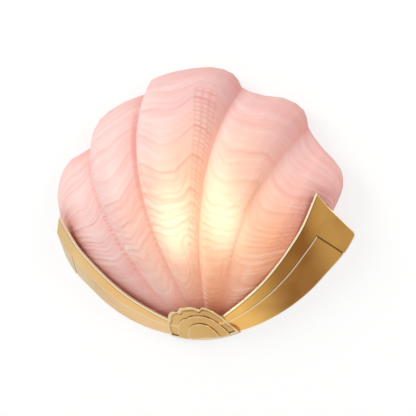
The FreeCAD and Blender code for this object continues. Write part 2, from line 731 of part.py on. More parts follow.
def screw_sets():
    """All fastenings, one node for each set of identical screws."""
    seat = STACK + " + lug_thickness"
    lugs = [pan_screw("lug_screw%d" % i, str(x), seat, str(rise), seat + " - 0.4")
            for i, (x, rise) in enumerate(lug_holes(-1) + lug_holes(1))]
    keep(group("lug_screws", *lugs), "lug_screws")
    straps = [pan_screw("strap_screw%d" % i, "%sstrap_width * 0.38" % sign, STACK, STRAP_HOLE,
                        STACK + " - 0.2") for i, sign in enumerate(("-", ""))]
    keep(group("strap_screws", *straps), "strap_screws")
    leg = "plate_thickness + bracket_thickness"
    brackets = [pan_screw("bracket_screw%d" % i, "0", leg, rise, leg + " - 0.2")
                for i, rise in enumerate((BRACKET_LOW, BRACKET_HIGH))]
    keep(group("bracket_screws", *brackets), "bracket_screws")
    leg = "plate_thickness + stay_thickness"
    stays = [pan_screw("stay_screw%d" % i, "%sstay_spread" % sign, leg,
                       "mount_height + plate_height / 2 - stay_foot / 2", leg + " - 0.2")
             for i, sign in enumerate(("-", ""))]
    keep(group("stay_screws", *stays), "stay_screws")


def lampholder_bracket():
    """Folded steel angle: a leg on the wall plate and a shelf under the lampholder."""
    leg = block("bracket_leg_box", "bracket_width", "bracket_thickness",
                "bracket_leg + bracket_thickness", "-bracket_width / 2",
                "plate_thickness + bracket_thickness", "seat_rise")
    shelf = block("bracket_shelf_box", "bracket_width",
                  "lamp_depth - plate_thickness + bracket_width * 0.3", "bracket_thickness",
                  "-bracket_width / 2", "lamp_depth + bracket_width * 0.3", "seat_rise")
    bore = rod("bracket_bore", "nipple_radius + 0.1", "bracket_thickness * 3", "0", "lamp_depth",
               "seat_rise - bracket_thickness")
    low = rod("bracket_hole_low", "screw_radius + screw_play", "20", "0", "0", BRACKET_LOW, True)
    high = rod("bracket_hole_high", "screw_radius + screw_play", "20", "0", "0", BRACKET_HIGH,
               True)
    keep(cut("bracket", fuse("bracket", leg, shelf), bore, low, high), "lampholder_bracket")


def lampholder():
    """Threaded tube with its nut, then the holder's body, contact shell and tongue."""
    seat = "seat_rise + bracket_thickness"
    tube = rod("nipple_tube", "nipple_radius", "nut_height + bracket_thickness + 6.5", "0",
               "lamp_depth", "seat_rise - nut_height - 1.5")
    bore = rod("nipple_hole", "nipple_bore", "nut_height + bracket_thickness + 20", "0",
               "lamp_depth", "seat_rise - nut_height - 5")
    keep(cut("nipple", tube, bore), "threaded_tube")
    nut = doc.addObject("Part::Prism", "nut_prism")
    nut.Polygon = 6
    drive(nut, Circumradius="nut_radius", Height="nut_height")
    place(nut, "0", "lamp_depth", "seat_rise - nut_height")
    hole = rod("nut_hole", "nipple_radius + 0.05", "nut_height * 3", "0", "lamp_depth",
               "seat_rise - nut_height * 2")
    keep(cut("nut", nut, hole), "tube_nut")
    body = rod("holder_outside", "holder_radius", "holder_height", "0", "lamp_depth", seat)
    ring = rod("holder_collar", "holder_radius + 1.5", "4", "0", "lamp_depth",
               seat + " + holder_height * 0.45")
    room = rod("holder_room", "cap_radius + cap_play + shell_wall + 0.05", "holder_height + 10",
               "0", "lamp_depth", seat + " + holder_floor")
    foot = rod("holder_foot", "nipple_radius + 0.1", "holder_floor", "0", "lamp_depth",
               "(%s) - 1" % seat)
    wire = rod("holder_wire_hole", "nipple_bore", "holder_floor + 4", "0", "lamp_depth",
               "(%s) - 1" % seat)
    keep(cut("holder", fuse("holder", body, ring), room, foot, wire), "lampholder_body")
    tube = rod("shell_tube", "cap_radius + cap_play + shell_wall", "shell_height", "0",
               "lamp_depth", seat + " + holder_floor")
    bore = rod("shell_bore", "cap_radius + cap_play", "shell_height + 10", "0", "lamp_depth",
               seat + " + holder_floor - 5")
    keep(cut("shell", tube, bore), "threaded_contact_shell")
    tongue = block("tongue_foot", "9.6", "3.6", "0.5", "-4.8", "lamp_depth + 1.8",
                   seat + " + holder_floor")
    rise = block("tongue_rise", "0.5", "3.6", "2.2", "-4.8", "lamp_depth + 1.8",
                 seat + " + holder_floor")
    pad = block("tongue_pad", "7", "3.6", "0.5", "-4.8", "lamp_depth + 1.8",
                seat + " + holder_floor + 1.7")
    keep(fuse("tongue", tongue, rise, pad), "centre_contact")


TIP = "(seat_rise + bracket_thickness + holder_floor + 2.2)"


def bulb():
    """Bulb in four pieces: tip contact, insulator, screw cap and frosted globe."""
    keep(rod("tip_button", "2.4", "1.5", "0", "lamp_depth", TIP), "bulb_tip_contact")
    cone = doc.addObject("Part::Cone", "insulator_cone")
    drive(cone, Radius1="3", Radius2="cap_radius - 0.6", Height="2.2")
    place(cone, "0", "lamp_depth", TIP + " + 1.5")
    keep(cone, "bulb_insulator")
    base = TIP + " + 3.7"
    barrel = rod("cap_barrel", "cap_radius - 0.4", "cap_length", "0", "lamp_depth", base)
    turns = []
    for k in range(5):
        thread = doc.addObject("Part::Torus", "cap_thread%d" % k)
        drive(thread, Radius1="cap_radius - 0.9", Radius2="0.9")
        place(thread, "0", "lamp_depth", "%s + 2.5 + %s * 2.82" % (base, k))
        turns.append(thread)
    keep(fuse("cap", barrel, *turns), "bulb_cap")
    profile_base = 3.7 + S.cap_length
    r0, r1 = S.cap_radius + 0.3, S.globe_radius
    top = S.bulb_length
    middle = top - r1
    points = [(0.0, profile_base), (r0, profile_base), (r0 + 0.4, profile_base + 4.0)]
    reach = math.radians(-52)
    for k in range(15):
        a = mix(reach, math.pi / 2, k / 14.0)
        points.append((r1 * math.cos(a), middle + r1 * math.sin(a)))
    points[-1] = (0.0, top)
    tip = S.seat_rise + S.bracket_thickness + S.holder_floor + 2.2
    curve = Part.BSplineCurve()
    curve.interpolate([at(x, S.lamp_depth, tip + z) for x, z in points[1:]])
    foot = Part.makeLine(at(0, S.lamp_depth, tip + profile_base),
                         at(r0, S.lamp_depth, tip + profile_base))
    spine = Part.makeLine(at(0, S.lamp_depth, tip + top),
                          at(0, S.lamp_depth, tip + profile_base))
    face = Part.Face(Part.Wire([foot, curve.toShape(), spine]))
    shaped("bulb_globe", face.revolve(at(0, S.lamp_depth, 0), FreeCAD.Vector(0, 0, 1), 360))


def grommet():
    """Rubber ring lining the cable hole, flanged on the room side."""
    rise = "mount_height + cable_hole_rise"
    neck = rod("grommet_neck", "cable_hole_radius - 0.05", "plate_thickness", "0", "0", rise,
               True)
    flange = rod("grommet_flange", "cable_hole_radius + grommet_lip", "grommet_lip", "0",
                 "plate_thickness", rise, True)
    bore = rod("grommet_bore", "cable_radius", "30", "0", "-5", rise, True)
    keep(cut("grommet", fuse("grommet", neck, flange), bore), "cable_grommet")


BLOCK_X = "-plate_width * 0.3"
BLOCK_RISE = ("(mount_height + plate_height / 2 - stay_foot - block_gap"
              " - block_length / 2)")
EARTH_RISE = "(mount_height + cable_hole_rise)"


def terminals():
    """Terminal block on end beside the cable hole, its screws and the earth point."""
    body = block("block_body", "block_width", "block_height", "block_length",
                 BLOCK_X + " - block_width / 2", "plate_thickness + block_height",
                 BLOCK_RISE + " - block_length / 2")
    tools = [rod("block_fixing", "screw_radius + screw_play", "40", BLOCK_X, "0", BLOCK_RISE,
                 True),
             rod("block_fixing_sink", "screw_head_radius + 0.4", "40", BLOCK_X,
                 "plate_thickness + 3", BLOCK_RISE, True)]
    screws = []
    for i, shift in enumerate(("-", "")):
        rise = BLOCK_RISE + " + (%sblock_length * 0.3)" % shift
        for j, side in enumerate(("-", "")):
            x = BLOCK_X + " + (%sblock_width * 0.24)" % side
            tools.append(rod("terminal_hole%d%d" % (i, j), "1.9", "20", x,
                             "plate_thickness + block_height - 5", rise, True))
            pin = rod("terminal_pin%d%d" % (i, j), "1.85", "3.6", x,
                      "plate_thickness + block_height - 5", rise, True)
            slot = block("terminal_slot%d%d" % (i, j), "4.4", "1", "0.6", x + " - 2.2",
                         "plate_thickness + block_height - 1", rise + " - 0.3")
            screws.append(cut("terminal%d%d" % (i, j), pin, slot))
        tunnel = doc.addObject("Part::Cylinder", "block_tunnel%d" % i)
        tunnel.Placement = FreeCAD.Placement(
            FreeCAD.Vector(), FreeCAD.Rotation(FreeCAD.Vector(0, 1, 0), 90))
        drive(tunnel, Radius="lead_radius + 0.3", Height="block_width * 2",
              Placement__Base__x=BLOCK_X + " - block_width",
              Placement__Base__y="-(plate_thickness + block_height / 2 - 1.5)",
              Placement__Base__z=rise + " - mount_height")
        tools.append(tunnel)
    keep(cut("block", body, *tools), "terminal_block")
    keep(group("terminal_screws", *screws), "terminal_screws")
    keep(pan_screw("block_screw", BLOCK_X, "plate_thickness + 3", BLOCK_RISE,
                   "plate_thickness + 2.8"), "block_screw")
    washer = rod("washer_disc", "4.6", "0.8", "plate_width * 0.3", "plate_thickness", EARTH_RISE,
                 True)
    hole = rod("washer_hole", "screw_radius + screw_play", "9", "plate_width * 0.3", "0",
               EARTH_RISE, True)
    keep(cut("washer", washer, hole), "earth_washer")
    keep(pan_screw("earth_screw", "plate_width * 0.3", "plate_thickness + 0.8", EARTH_RISE,
                   "plate_thickness + 0.6"), "earth_screw")


def lead(name, points, radius):
    """Round lead along straight runs joined by arcs as large as the runs allow."""
    spots = [at(*p) for p in points]
    edges, last = [], spots[0]
    for before, corner, after in zip(spots, spots[1:], spots[2:]):
        into, out = (before - corner), (after - corner)
        reach = 0.45 * min(into.Length, out.Length)
        into.normalize()
        out.normalize()
        start, end = corner + into * reach, corner + out * reach
        half = 0.5 * (math.pi - into.getAngle(out))
        bend = reach / math.tan(half)
        middle = corner + (into + out).normalize() * (bend / math.cos(half) - bend)
        edges += [Part.makeLine(last, start), Part.Arc(start, middle, end).toShape()]
        last = end
    edges.append(Part.makeLine(last, spots[-1]))
    path = Part.Wire(edges)
    ring = Part.Wire([Part.Circle(spots[0], spots[1] - spots[0], radius).toShape()])
    shape = path.makePipeShell([ring], True, True)
    wanted = math.pi * radius ** 2 * path.Length
    if abs(shape.Volume - wanted) > 0.02 * wanted:
        raise RuntimeError("%s is not a full tube" % name)
    return shaped(name, shape)


def leads():
    """Live and neutral from the terminal block down and up through the threaded tube."""
    edge = -S.plate_width * 0.3 + S.block_width * 0.5
    rise = (S.mount_height + S.plate_height / 2 - S.stay_foot - S.block_gap
            - S.block_length / 2)
    depth = S.plate_thickness + S.block_height / 2 - 1.5
    low = S.seat_rise - S.nut_height - 10.5
    up = S.seat_rise + S.bracket_thickness + 2.0
    for name, shift, side in (("live_lead", 0.3, -1.0), ("neutral_lead", -0.3, 1.0)):
        top = rise + shift * S.block_length
        lane = edge + 5.8 - 1.8 * side
        foot = low - 1.6 * side
        drop = [mix(top, foot, k / 3.0) for k in range(4)]
        lead(name, [(edge - 3.5, depth, top), (lane, depth, top), (lane - 0.7, 5.6, drop[1]),
                    (lane + 0.5, 6.4, drop[2]), (lane, 7.4, foot),
                    (side * 1.6, S.lamp_depth, foot), (side * 1.6, S.lamp_depth, up)],
             S.lead_radius)


def stays():
    """Two steel strips that hold the rim off the wall, each with a rubber tip."""
    low = "mount_height + plate_height / 2 - stay_foot"
    reach = "shade_height - 14 - (mount_height + plate_height / 2 - stay_foot)"
    strips = []
    for i, sign in enumerate(("-", "")):
        x = "%sstay_spread - stay_width / 2" % sign
        strip = block("stay_strip%d" % i, "stay_width", "stay_thickness", reach, x,
                      "plate_thickness + stay_thickness", low)
        hole = rod("stay_hole%d" % i, "screw_radius + screw_play", "20", "%sstay_spread" % sign,
                   "0", "mount_height + plate_height / 2 - stay_foot / 2", True)
        strips.append(cut("stay%d" % i, strip, hole))
    keep(group("rim_stays", *strips), "rim_stays")


def pads(shade, arms, plates):
    """Rubber pads that fill the gaps between the glass and what carries it."""
    back = S.plate_thickness + S.stay_thickness
    nearer, lower = shade.copy(), shade.copy()
    nearer.translate(FreeCAD.Vector(0, S.pad_gap, 0))
    lower.translate(FreeCAD.Vector(0, 0.3 * S.pad_gap, -S.pad_gap))
    tips = []
    for side in (-1, 1):
        post = Part.makeCylinder(S.pad_radius, 60, at(side * S.stay_spread, back,
                                                     S.shade_height - 22),
                                 FreeCAD.Vector(0, -1, 0))
        left = post.cut(nearer)
        tips.append(max(left.Solids, key=lambda solid: solid.CenterOfMass.y))
    shaped("rim_pads", Part.makeCompound(tips))
    rests = []
    for side in (-1, 1):
        brass = arms[side]
        for t in (0.20, 0.62):
            _, (dx, dz), _, _ = arm_section(t)
            x, rise, depth = SHELL.foot_at(side * t)
            base = at(x, 0, rise)
            inward = FreeCAD.Vector(side * dx, 0, dz)
            along = FreeCAD.Vector(-side * dz, 0, dx)
            corners = [base + inward * a + along * b for a, b in
                       ((-14, -S.pad_radius), (1.0, -S.pad_radius), (1.0, S.pad_radius),
                        (-14, S.pad_radius))]
            corners = [c + FreeCAD.Vector(0, -(depth - 4.5), 0) for c in corners]
            prism = Part.Face(Part.makePolygon(corners + corners[:1])).extrude(
                FreeCAD.Vector(0, -8, 0))
            room = inner_room(side, 40.0, 40.0)
            lump = prism.common(room).cut(brass).cut(lower).cut(plates[0][1])
            rests.append(keep_lump(lump))
    shaped("shade_rests", Part.makeCompound(rests))


# ------------------------------------------------------------------------------ build
SHELL = Shell()
shade = glass()
arms = {-1: arm(-1), 1: arm(1)}
wall_plate()
cradle_strap()
shaped("cradle_left_arm", arms[-1])
shaped("cradle_right_arm", arms[1])
plates = [(label, keep_lump(layer.cut(arms[-1]).cut(arms[1]))) for label, layer in medallion()]
for label, layer in plates:
    shaped(label, layer)
shaped("glass_shade", shade)
stays()
pads(shade, arms, plates)
lampholder_bracket()
lampholder()
bulb()
grommet()
terminals()
leads()
screw_sets()
doc.recompute()

faults = [o.Name for o in doc.Objects if "Invalid" in o.State or "Error" in o.State]
if faults:
    raise RuntimeError("objects not made: %s" % ", ".join(faults))
os.makedirs("parts", exist_ok=True)
for node in nodes:
    if node.Shape.isNull() or not node.Shape.isValid():
        raise RuntimeError("%s has no valid shape" % node.Label)
    node.Shape.exportStep("parts/%s.step" % node.Label)
    print("%-24s %3d solid(s) %10.1f mm3" % (node.Label, len(node.Shape.Solids),
                                             node.Shape.Volume))
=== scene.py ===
# %% [markdown]
# A shell wall light, dressed for its photograph.
# The metal and electrical parts come from a packed model that is finished and fixed.
# This lesson gives every one of them a surface, and makes the moulded glass shade anew,
# because its ribs, swags and little squares are finer than the solid model holds.

# %% Open the packed model
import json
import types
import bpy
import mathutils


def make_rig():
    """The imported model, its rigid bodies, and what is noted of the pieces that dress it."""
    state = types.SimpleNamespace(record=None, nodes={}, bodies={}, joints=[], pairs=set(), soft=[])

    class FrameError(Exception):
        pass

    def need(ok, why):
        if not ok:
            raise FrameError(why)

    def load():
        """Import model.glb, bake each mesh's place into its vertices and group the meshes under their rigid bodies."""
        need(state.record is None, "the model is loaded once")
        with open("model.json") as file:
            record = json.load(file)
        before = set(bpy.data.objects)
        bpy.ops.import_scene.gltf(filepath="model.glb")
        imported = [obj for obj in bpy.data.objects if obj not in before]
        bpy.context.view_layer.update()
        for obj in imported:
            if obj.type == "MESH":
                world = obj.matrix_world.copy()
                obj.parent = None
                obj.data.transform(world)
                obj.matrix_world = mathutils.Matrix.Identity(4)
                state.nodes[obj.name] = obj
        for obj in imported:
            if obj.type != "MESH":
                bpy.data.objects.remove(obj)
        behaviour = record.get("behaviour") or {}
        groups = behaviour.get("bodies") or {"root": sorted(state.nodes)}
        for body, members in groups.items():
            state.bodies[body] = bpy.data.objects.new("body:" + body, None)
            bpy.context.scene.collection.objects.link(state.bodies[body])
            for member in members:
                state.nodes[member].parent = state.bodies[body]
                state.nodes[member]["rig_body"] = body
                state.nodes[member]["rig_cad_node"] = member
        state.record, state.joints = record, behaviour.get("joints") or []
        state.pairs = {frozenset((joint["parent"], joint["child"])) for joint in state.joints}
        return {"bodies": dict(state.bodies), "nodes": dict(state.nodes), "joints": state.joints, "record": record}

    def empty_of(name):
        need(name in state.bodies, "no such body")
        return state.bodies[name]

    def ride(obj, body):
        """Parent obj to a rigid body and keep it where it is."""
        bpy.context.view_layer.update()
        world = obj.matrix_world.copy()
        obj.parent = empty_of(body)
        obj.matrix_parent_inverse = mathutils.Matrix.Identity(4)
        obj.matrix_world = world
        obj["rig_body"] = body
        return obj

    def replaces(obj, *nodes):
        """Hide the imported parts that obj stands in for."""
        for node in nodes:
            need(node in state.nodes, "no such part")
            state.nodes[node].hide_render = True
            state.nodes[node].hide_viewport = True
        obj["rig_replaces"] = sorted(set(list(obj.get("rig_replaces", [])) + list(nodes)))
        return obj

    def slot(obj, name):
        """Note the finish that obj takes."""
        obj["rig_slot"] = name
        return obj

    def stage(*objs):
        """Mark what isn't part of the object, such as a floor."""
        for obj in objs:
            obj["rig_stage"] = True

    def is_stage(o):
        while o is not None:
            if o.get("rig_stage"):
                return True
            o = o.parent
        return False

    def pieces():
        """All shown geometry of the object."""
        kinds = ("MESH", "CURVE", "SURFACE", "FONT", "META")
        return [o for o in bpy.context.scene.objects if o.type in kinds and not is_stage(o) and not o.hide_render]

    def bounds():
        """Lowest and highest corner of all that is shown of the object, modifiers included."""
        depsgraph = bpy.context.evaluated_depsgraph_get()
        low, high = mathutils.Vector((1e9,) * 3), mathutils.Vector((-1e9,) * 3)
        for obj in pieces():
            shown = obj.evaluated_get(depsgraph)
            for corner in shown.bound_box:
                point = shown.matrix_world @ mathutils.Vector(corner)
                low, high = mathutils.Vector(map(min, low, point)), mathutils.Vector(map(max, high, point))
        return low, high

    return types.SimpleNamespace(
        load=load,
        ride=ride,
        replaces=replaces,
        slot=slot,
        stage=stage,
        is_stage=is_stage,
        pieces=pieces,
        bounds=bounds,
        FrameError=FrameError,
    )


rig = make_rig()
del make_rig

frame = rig.load()

import json
import math

import bpy
import numpy as np
from mathutils import Matrix, Vector

solid_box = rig.bounds()
print("pieces in the packed model:", len(frame["nodes"]), "box:", solid_box)


# %% [markdown]
# The camera stands a little to the right of the light and below it, and looks up.
# A lens can be found from how fast things shrink with distance; here it is a long one,
# 118 mm, from 1.35 m away. The roll is small, and is added last, about the line of sight.

# %% Set up the camera
EYE, AIM = Vector((0.5066, -1.2329, -0.2225)), Vector((0.0043, -0.0003, 0.0105))
ROLL = math.radians(1.31)

camera_data = bpy.data.cameras.new("photo_camera")
camera_data.sensor_width = 36.0
camera_data.lens = 117.57
camera = bpy.data.objects.new("photo_camera", camera_data)
bpy.context.scene.collection.objects.link(camera)
sight = (AIM - EYE).to_track_quat("-Z", "Y").to_matrix().to_4x4()
camera.matrix_world = Matrix.Translation(EYE) @ sight @ Matrix.Rotation(-ROLL, 4, "Z")
bpy.context.scene.camera = camera
bpy.context.scene.view_settings.view_transform = "Standard"
print("camera at", tuple(round(v, 3) for v in EYE), "lens", camera_data.lens)


# %% [markdown]
# A material is a small network of nodes. Written out node by node it is long and hard to
# read, so one class wraps a socket and lets plain Python sums build the network: with it,
# `1 - worn * 0.3` adds the two Math nodes it needs. A second class adds every other node.

# %% Write shader sums as Python
class Wire:
    """One output of a node, which can be used in a sum."""

    def __init__(self, network, socket):
        self.network, self.socket = network, socket

    def sum(self, operation, other, turned=False):
        a, b = (other, self) if turned else (self, other)
        return self.network.add("Math", {"operation": operation}, {0: a, 1: b})

    def __add__(self, other):
        return self.sum("ADD", other)

    def __radd__(self, other):
        return self.sum("ADD", other, True)

    def __sub__(self, other):
        return self.sum("SUBTRACT", other)

    def __rsub__(self, other):
        return self.sum("SUBTRACT", other, True)

    def __mul__(self, other):
        return self.sum("MULTIPLY", other)

    def __rmul__(self, other):
        return self.sum("MULTIPLY", other, True)


class Network:
    """The nodes of one material, or of the sky."""

    def __init__(self, tree):
        self.tree = tree

    def join(self, target, value):
        if isinstance(value, Wire):
            self.tree.links.new(value.socket, target)
        else:
            target.default_value = value

    def add(self, kind, settings=None, sockets=None, output=0):
        """Adds a node: its settings first, then its sockets."""
        node = self.tree.nodes.new("ShaderNode" + kind)
        for name, value in (settings or {}).items():
            if name == "stops":
                for element, (place, colour) in zip(node.color_ramp.elements, value):
                    element.position, element.color = place, (*colour, 1.0)
            else:
                setattr(node, name, value)
        for name, value in (sockets or {}).items():
            self.join(node.inputs[name], value)
        return Wire(self, node.outputs[output])


def tone(red, green, blue):
    """A screen colour, 0 to 255, as the light a shader works with."""
    return tuple((c / 255 / 12.92 if c < 10.3 else ((c / 255 + 0.055) / 1.055) ** 2.4)
                 for c in (red, green, blue))


print("a mid pink in shader light:", [round(v, 2) for v in tone(240, 180, 170)])


# %% [markdown]
# A third class holds one material: the shader, and the few helpers that every finish on
# this light needs. They read a place on the piece, a cloudy noise, or a value that the mesh
# keeps at each point, and they blend colours or raise a bump by what they read.

# %% Hold one material
class Finish(Network):
    """One material: its nodes, and the shader that they feed."""

    def __init__(self, name, colour, roughness=0.5, metallic=0.0, **more):
        self.material = bpy.data.materials.new(name)
        self.material.use_nodes = True
        super().__init__(self.material.node_tree)
        self.shader = self.tree.nodes["Principled BSDF"]
        self.put(Base_Color=(*colour, 1.0), Roughness=roughness, Metallic=metallic, **more)

    def put(self, **sockets):
        """Sets or links sockets of the shader; an underscore stands for a space."""
        for name, value in sockets.items():
            self.join(self.shader.inputs[name.replace("_", " ")], value)

    def place(self):
        return self.add("TexCoord", output="Object")

    def along(self, axis):
        """The x, y or z of a place in metres."""
        return self.add("SeparateXYZ", sockets={0: self.place()}, output="XYZ".index(axis))

    def stretched(self, scale):
        return self.add("Mapping", sockets={"Vector": self.place(), "Scale": scale})

    def noise(self, scale, detail=3.0, rough=0.55, where=None):
        return self.add("TexNoise", sockets={"Vector": where or self.place(), "Scale": scale,
                                             "Detail": detail, "Roughness": rough})

    def between(self, value, low, high, out_low=0.0, out_high=1.0):
        """A value that runs from out_low to out_high, softly, while value goes low to high."""
        return self.add("MapRange", {"interpolation_type": "SMOOTHSTEP"},
                        {"Value": value, "From Min": low, "From Max": high,
                         "To Min": out_low, "To Max": out_high})

    def near(self, point, reach, tall=1.0):
        """1 at a point, fading to 0 at reach metres from it, or further up and down."""
        gap = self.add("VectorMath", {"operation": "DISTANCE"},
                       {0: self.stretched((1, 1, 1 / tall)), 1: (*point[:2], point[2] / tall)},
                       "Value")
        return self.between(gap, reach, 0.0)

    def own(self, name):
        """A value kept at each point of the mesh."""
        return self.add("Attribute", {"attribute_name": name}, output="Fac")

    def blend(self, share, a, b):
        """Colour a turning to colour b as share goes from 0 to 1."""
        sides = [c if isinstance(c, Wire) else (*c, 1.0) for c in (a, b)]
        return self.add("Mix", {"data_type": "RGBA"}, {0: share, 6: sides[0], 7: sides[1]}, 2)

    def layers(self, skin, *layers):
        """Lays colours over each other, each as strong as its share says."""
        for share, colour in layers:
            skin = self.blend(share, skin, colour)
        return skin

    def bump(self, height, distance, strength=1.0):
        return self.add("Bump", sockets={"Height": height, "Distance": distance,
                                         "Strength": strength})


print("helpers of a finish:", [name for name in vars(Finish) if name[0] != "_"])


# %% [markdown]
# The light hangs on a plain white wall, with a pale floor far below it, as in a shop
# picture. The wall turns white for the camera with a share of glow instead of more light,
# so the soft shadow of the shade stays on it. From behind it is clear, so that the back
# of the light can be looked at too.

# %% Build the wall and the floor
GLOW_SHARE = 0.72
SHEET, WALL_GAP, FLOOR = 9.0, 0.0006, -1.7  # m, size of a sheet, and where the two are


def stage_sheet(name, size, turn, move):
    """A plain sheet that isn't part of the light."""
    bpy.ops.object.select_all(action="DESELECT")
    bpy.ops.mesh.primitive_plane_add(size=size, location=move, rotation=turn)
    sheet = bpy.context.active_object
    sheet.name = name
    bpy.ops.object.transform_apply(location=True, rotation=True, scale=True)
    sheet.data.materials.append(backdrop.material)
    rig.stage(sheet)
    return sheet


backdrop = Finish("white_wall", (0.93, 0.93, 0.93), roughness=0.9)
shown = 0.0
for ray in ("Is Camera Ray", "Is Glossy Ray", "Is Transmission Ray"):
    seen = backdrop.add("LightPath", output=ray)
    shown = backdrop.add("Math", {"operation": "MAXIMUM"}, {0: shown, 1: seen})
glow = backdrop.add("Emission", sockets={"Color": (1.0, 1.0, 1.0, 1.0), "Strength": 1.0})
paint = Wire(backdrop, backdrop.shader.outputs[0])
lit = backdrop.add("MixShader", sockets={0: shown * GLOW_SHARE, 1: paint, 2: glow})
behind = backdrop.add("NewGeometry", output="Backfacing")
clear = backdrop.add("BsdfTransparent")
whole = backdrop.add("MixShader", sockets={0: behind, 1: lit, 2: clear})
backdrop.join(backdrop.tree.nodes["Material Output"].inputs["Surface"], whole)

wall = stage_sheet("wall", SHEET, (math.radians(90), 0, 0), (0, WALL_GAP, 0))
floor = stage_sheet("floor", SHEET, (0, 0, 0), (0, 0, FLOOR))
wall.visible_diffuse = wall.visible_glossy = False
print("stage:", [sheet.name for sheet in (wall, floor)])


# %% [markdown]
# One large soft lamp from the upper left gives the shape its shading, a weaker one fills
# the right side, and a third lights what shows from behind. The sky adds the rest. It is
# brighter on the left, so that the brass, which mirrors it, is paler there.

# %% Hang the lamps and colour the sky
def lamp(name, place, size, watts):
    """A round soft lamp that points at the light."""
    data = bpy.data.lights.new(name, "AREA")
    data.shape, data.size, data.energy = "DISK", size, watts
    thing = bpy.data.objects.new(name, data)
    bpy.context.scene.collection.objects.link(thing)
    thing.location = place
    thing.rotation_euler = (-Vector(place)).to_track_quat("-Z", "Y").to_euler()


def sky_grey(level):
    """A grey that leans a little to warm."""
    return (level, level * 0.985, level * 0.97)


lamp("soft_box", (-1.15, -1.35, 1.05), 1.1, 21.0)
lamp("fill", (1.5, -1.2, 0.1), 1.0, 10.0)
lamp("behind", (0.6, 1.4, 0.9), 0.9, 5.0)

world = bpy.data.worlds.new("sky")
bpy.context.scene.world = world
world.use_nodes = True
sky = Network(world.node_tree)
toward = sky.add("SeparateXYZ", sockets={0: sky.add("TexCoord", output="Generated")}, output="X")
shades = sky.add("ValToRGB", {"stops": [(0.2, sky_grey(0.74)), (0.85, sky_grey(0.52))]},
                 {"Fac": toward * 0.5 + 0.5}, "Color")
sky.join(sky.tree.nodes["Background"].inputs["Color"], shades)
print("lamps:", [o.name for o in bpy.data.objects if o.type == "LIGHT"])


# %% [markdown]
# Glass and brass share one set of curves. An arm is written down as nine sections from the
# middle to its tip. Between them a smooth curve runs, as a bent batten would, so a few
# numbers make a long sweep. Heights count from the lowest point of the brass, depths from
# the wall, all in millimetres.

# %% Write down the brass arms
ORIGIN_RISE = 120.0  # mm, lowest point of the brass to the origin
BRASS = 2.6  # mm thick
LIP_TIP, LIP_MIDDLE = 54.2, 30.0  # mm, wall to the lip, at a tip and by the medallion
KNEE_ACROSS, KNEE_DEEP = 0.6, 0.79  # where panel meets border, as shares of a section
# Outer edge (x, height), front lip (x, height), and the lip's depth as a share of the tip's.
ARM = np.array([
    (0, 3.5, 0, 13.5, .31), (18, 4.3, 15.4, 14.6, .40), (36, 6.3, 29.8, 19.6, .554),
    (60, 13.3, 50, 31.3, .63), (85, 25, 71, 46, .705), (107, 39.8, 89.5, 62.8, .78),
    (124.5, 55.8, 105, 79.6, .85), (143.5, 74.7, 118.8, 97, .925), (155, 91.7, 134.3, 124.8, 1)])
BY_MEDALLION = ARM[2, 4]


def curve_through(values, t):
    """Smooth curve through evenly spaced values."""
    place = min(max(t, 0.0), 1.0) * (len(values) - 1)
    i = min(int(place), len(values) - 2)
    f = place - i
    b, c = values[i], values[i + 1]
    a = values[i - 1] if i else 2 * b - c
    d = values[i + 2] if i + 2 < len(values) else 2 * c - b
    return b + 0.5 * f * (c - a + f * (2 * a - 5 * b + 4 * c - d + f * (3 * (b - c) + d - a)))


def arm_at(t):
    """Outer edge, inward direction, width and lip depth of an arm, 0 to 1 along it."""
    ox, oz, lx, lz, share = (curve_through(column, t) for column in ARM.T)
    width = math.hypot(lx - ox, lz - oz)
    lip = LIP_TIP * (1 - (1 - share) * (1 - LIP_MIDDLE / LIP_TIP) / (1 - BY_MEDALLION))
    return (ox, oz), ((lx - ox) / width, (lz - oz) / width), width, lip


print("an arm is", round(arm_at(0)[2]), "mm wide at the middle,", round(arm_at(1)[2]), "at its tip")


# %% [markdown]
# The shade is one piece of pressed glass in five lobes. Its shape is a fan of lines that
# rise from a hidden lower edge, behind the brass, to the scalloped rim. A sphere or a
# sculpted blob would not give that rim, so the fan is written down: where each line starts,
# where it ends, and how far it bows out towards the room. `t` counts across, `s` upwards.

# %% Write down the rim and the lobes
RIM = np.array([
    (-146.5, 108), (-147.5, 122), (-150.5, 138), (-152.5, 155), (-150, 170), (-145, 181),
    (-137, 190.5), (-127, 197), (-118, 203), (-116.5, 212), (-113, 221), (-106, 230.5),
    (-96, 238), (-79, 246), (-64, 250.5), (-52, 252.5), (-51.5, 261), (-47.5, 266.5),
    (-38, 269), (-20, 271.5), (0, 272), (17, 271), (31, 267), (41, 261), (46.5, 254),
    (49.5, 246.5), (58, 240.5), (74, 234.5), (93, 230), (106, 223), (114, 215), (116.5, 207),
    (117.5, 197.5), (123, 187.5), (132, 175.5), (143.5, 162), (150.5, 151), (152.2, 143),
    (151.6, 135), (148.5, 127), (143.5, 118), (137.5, 108)])
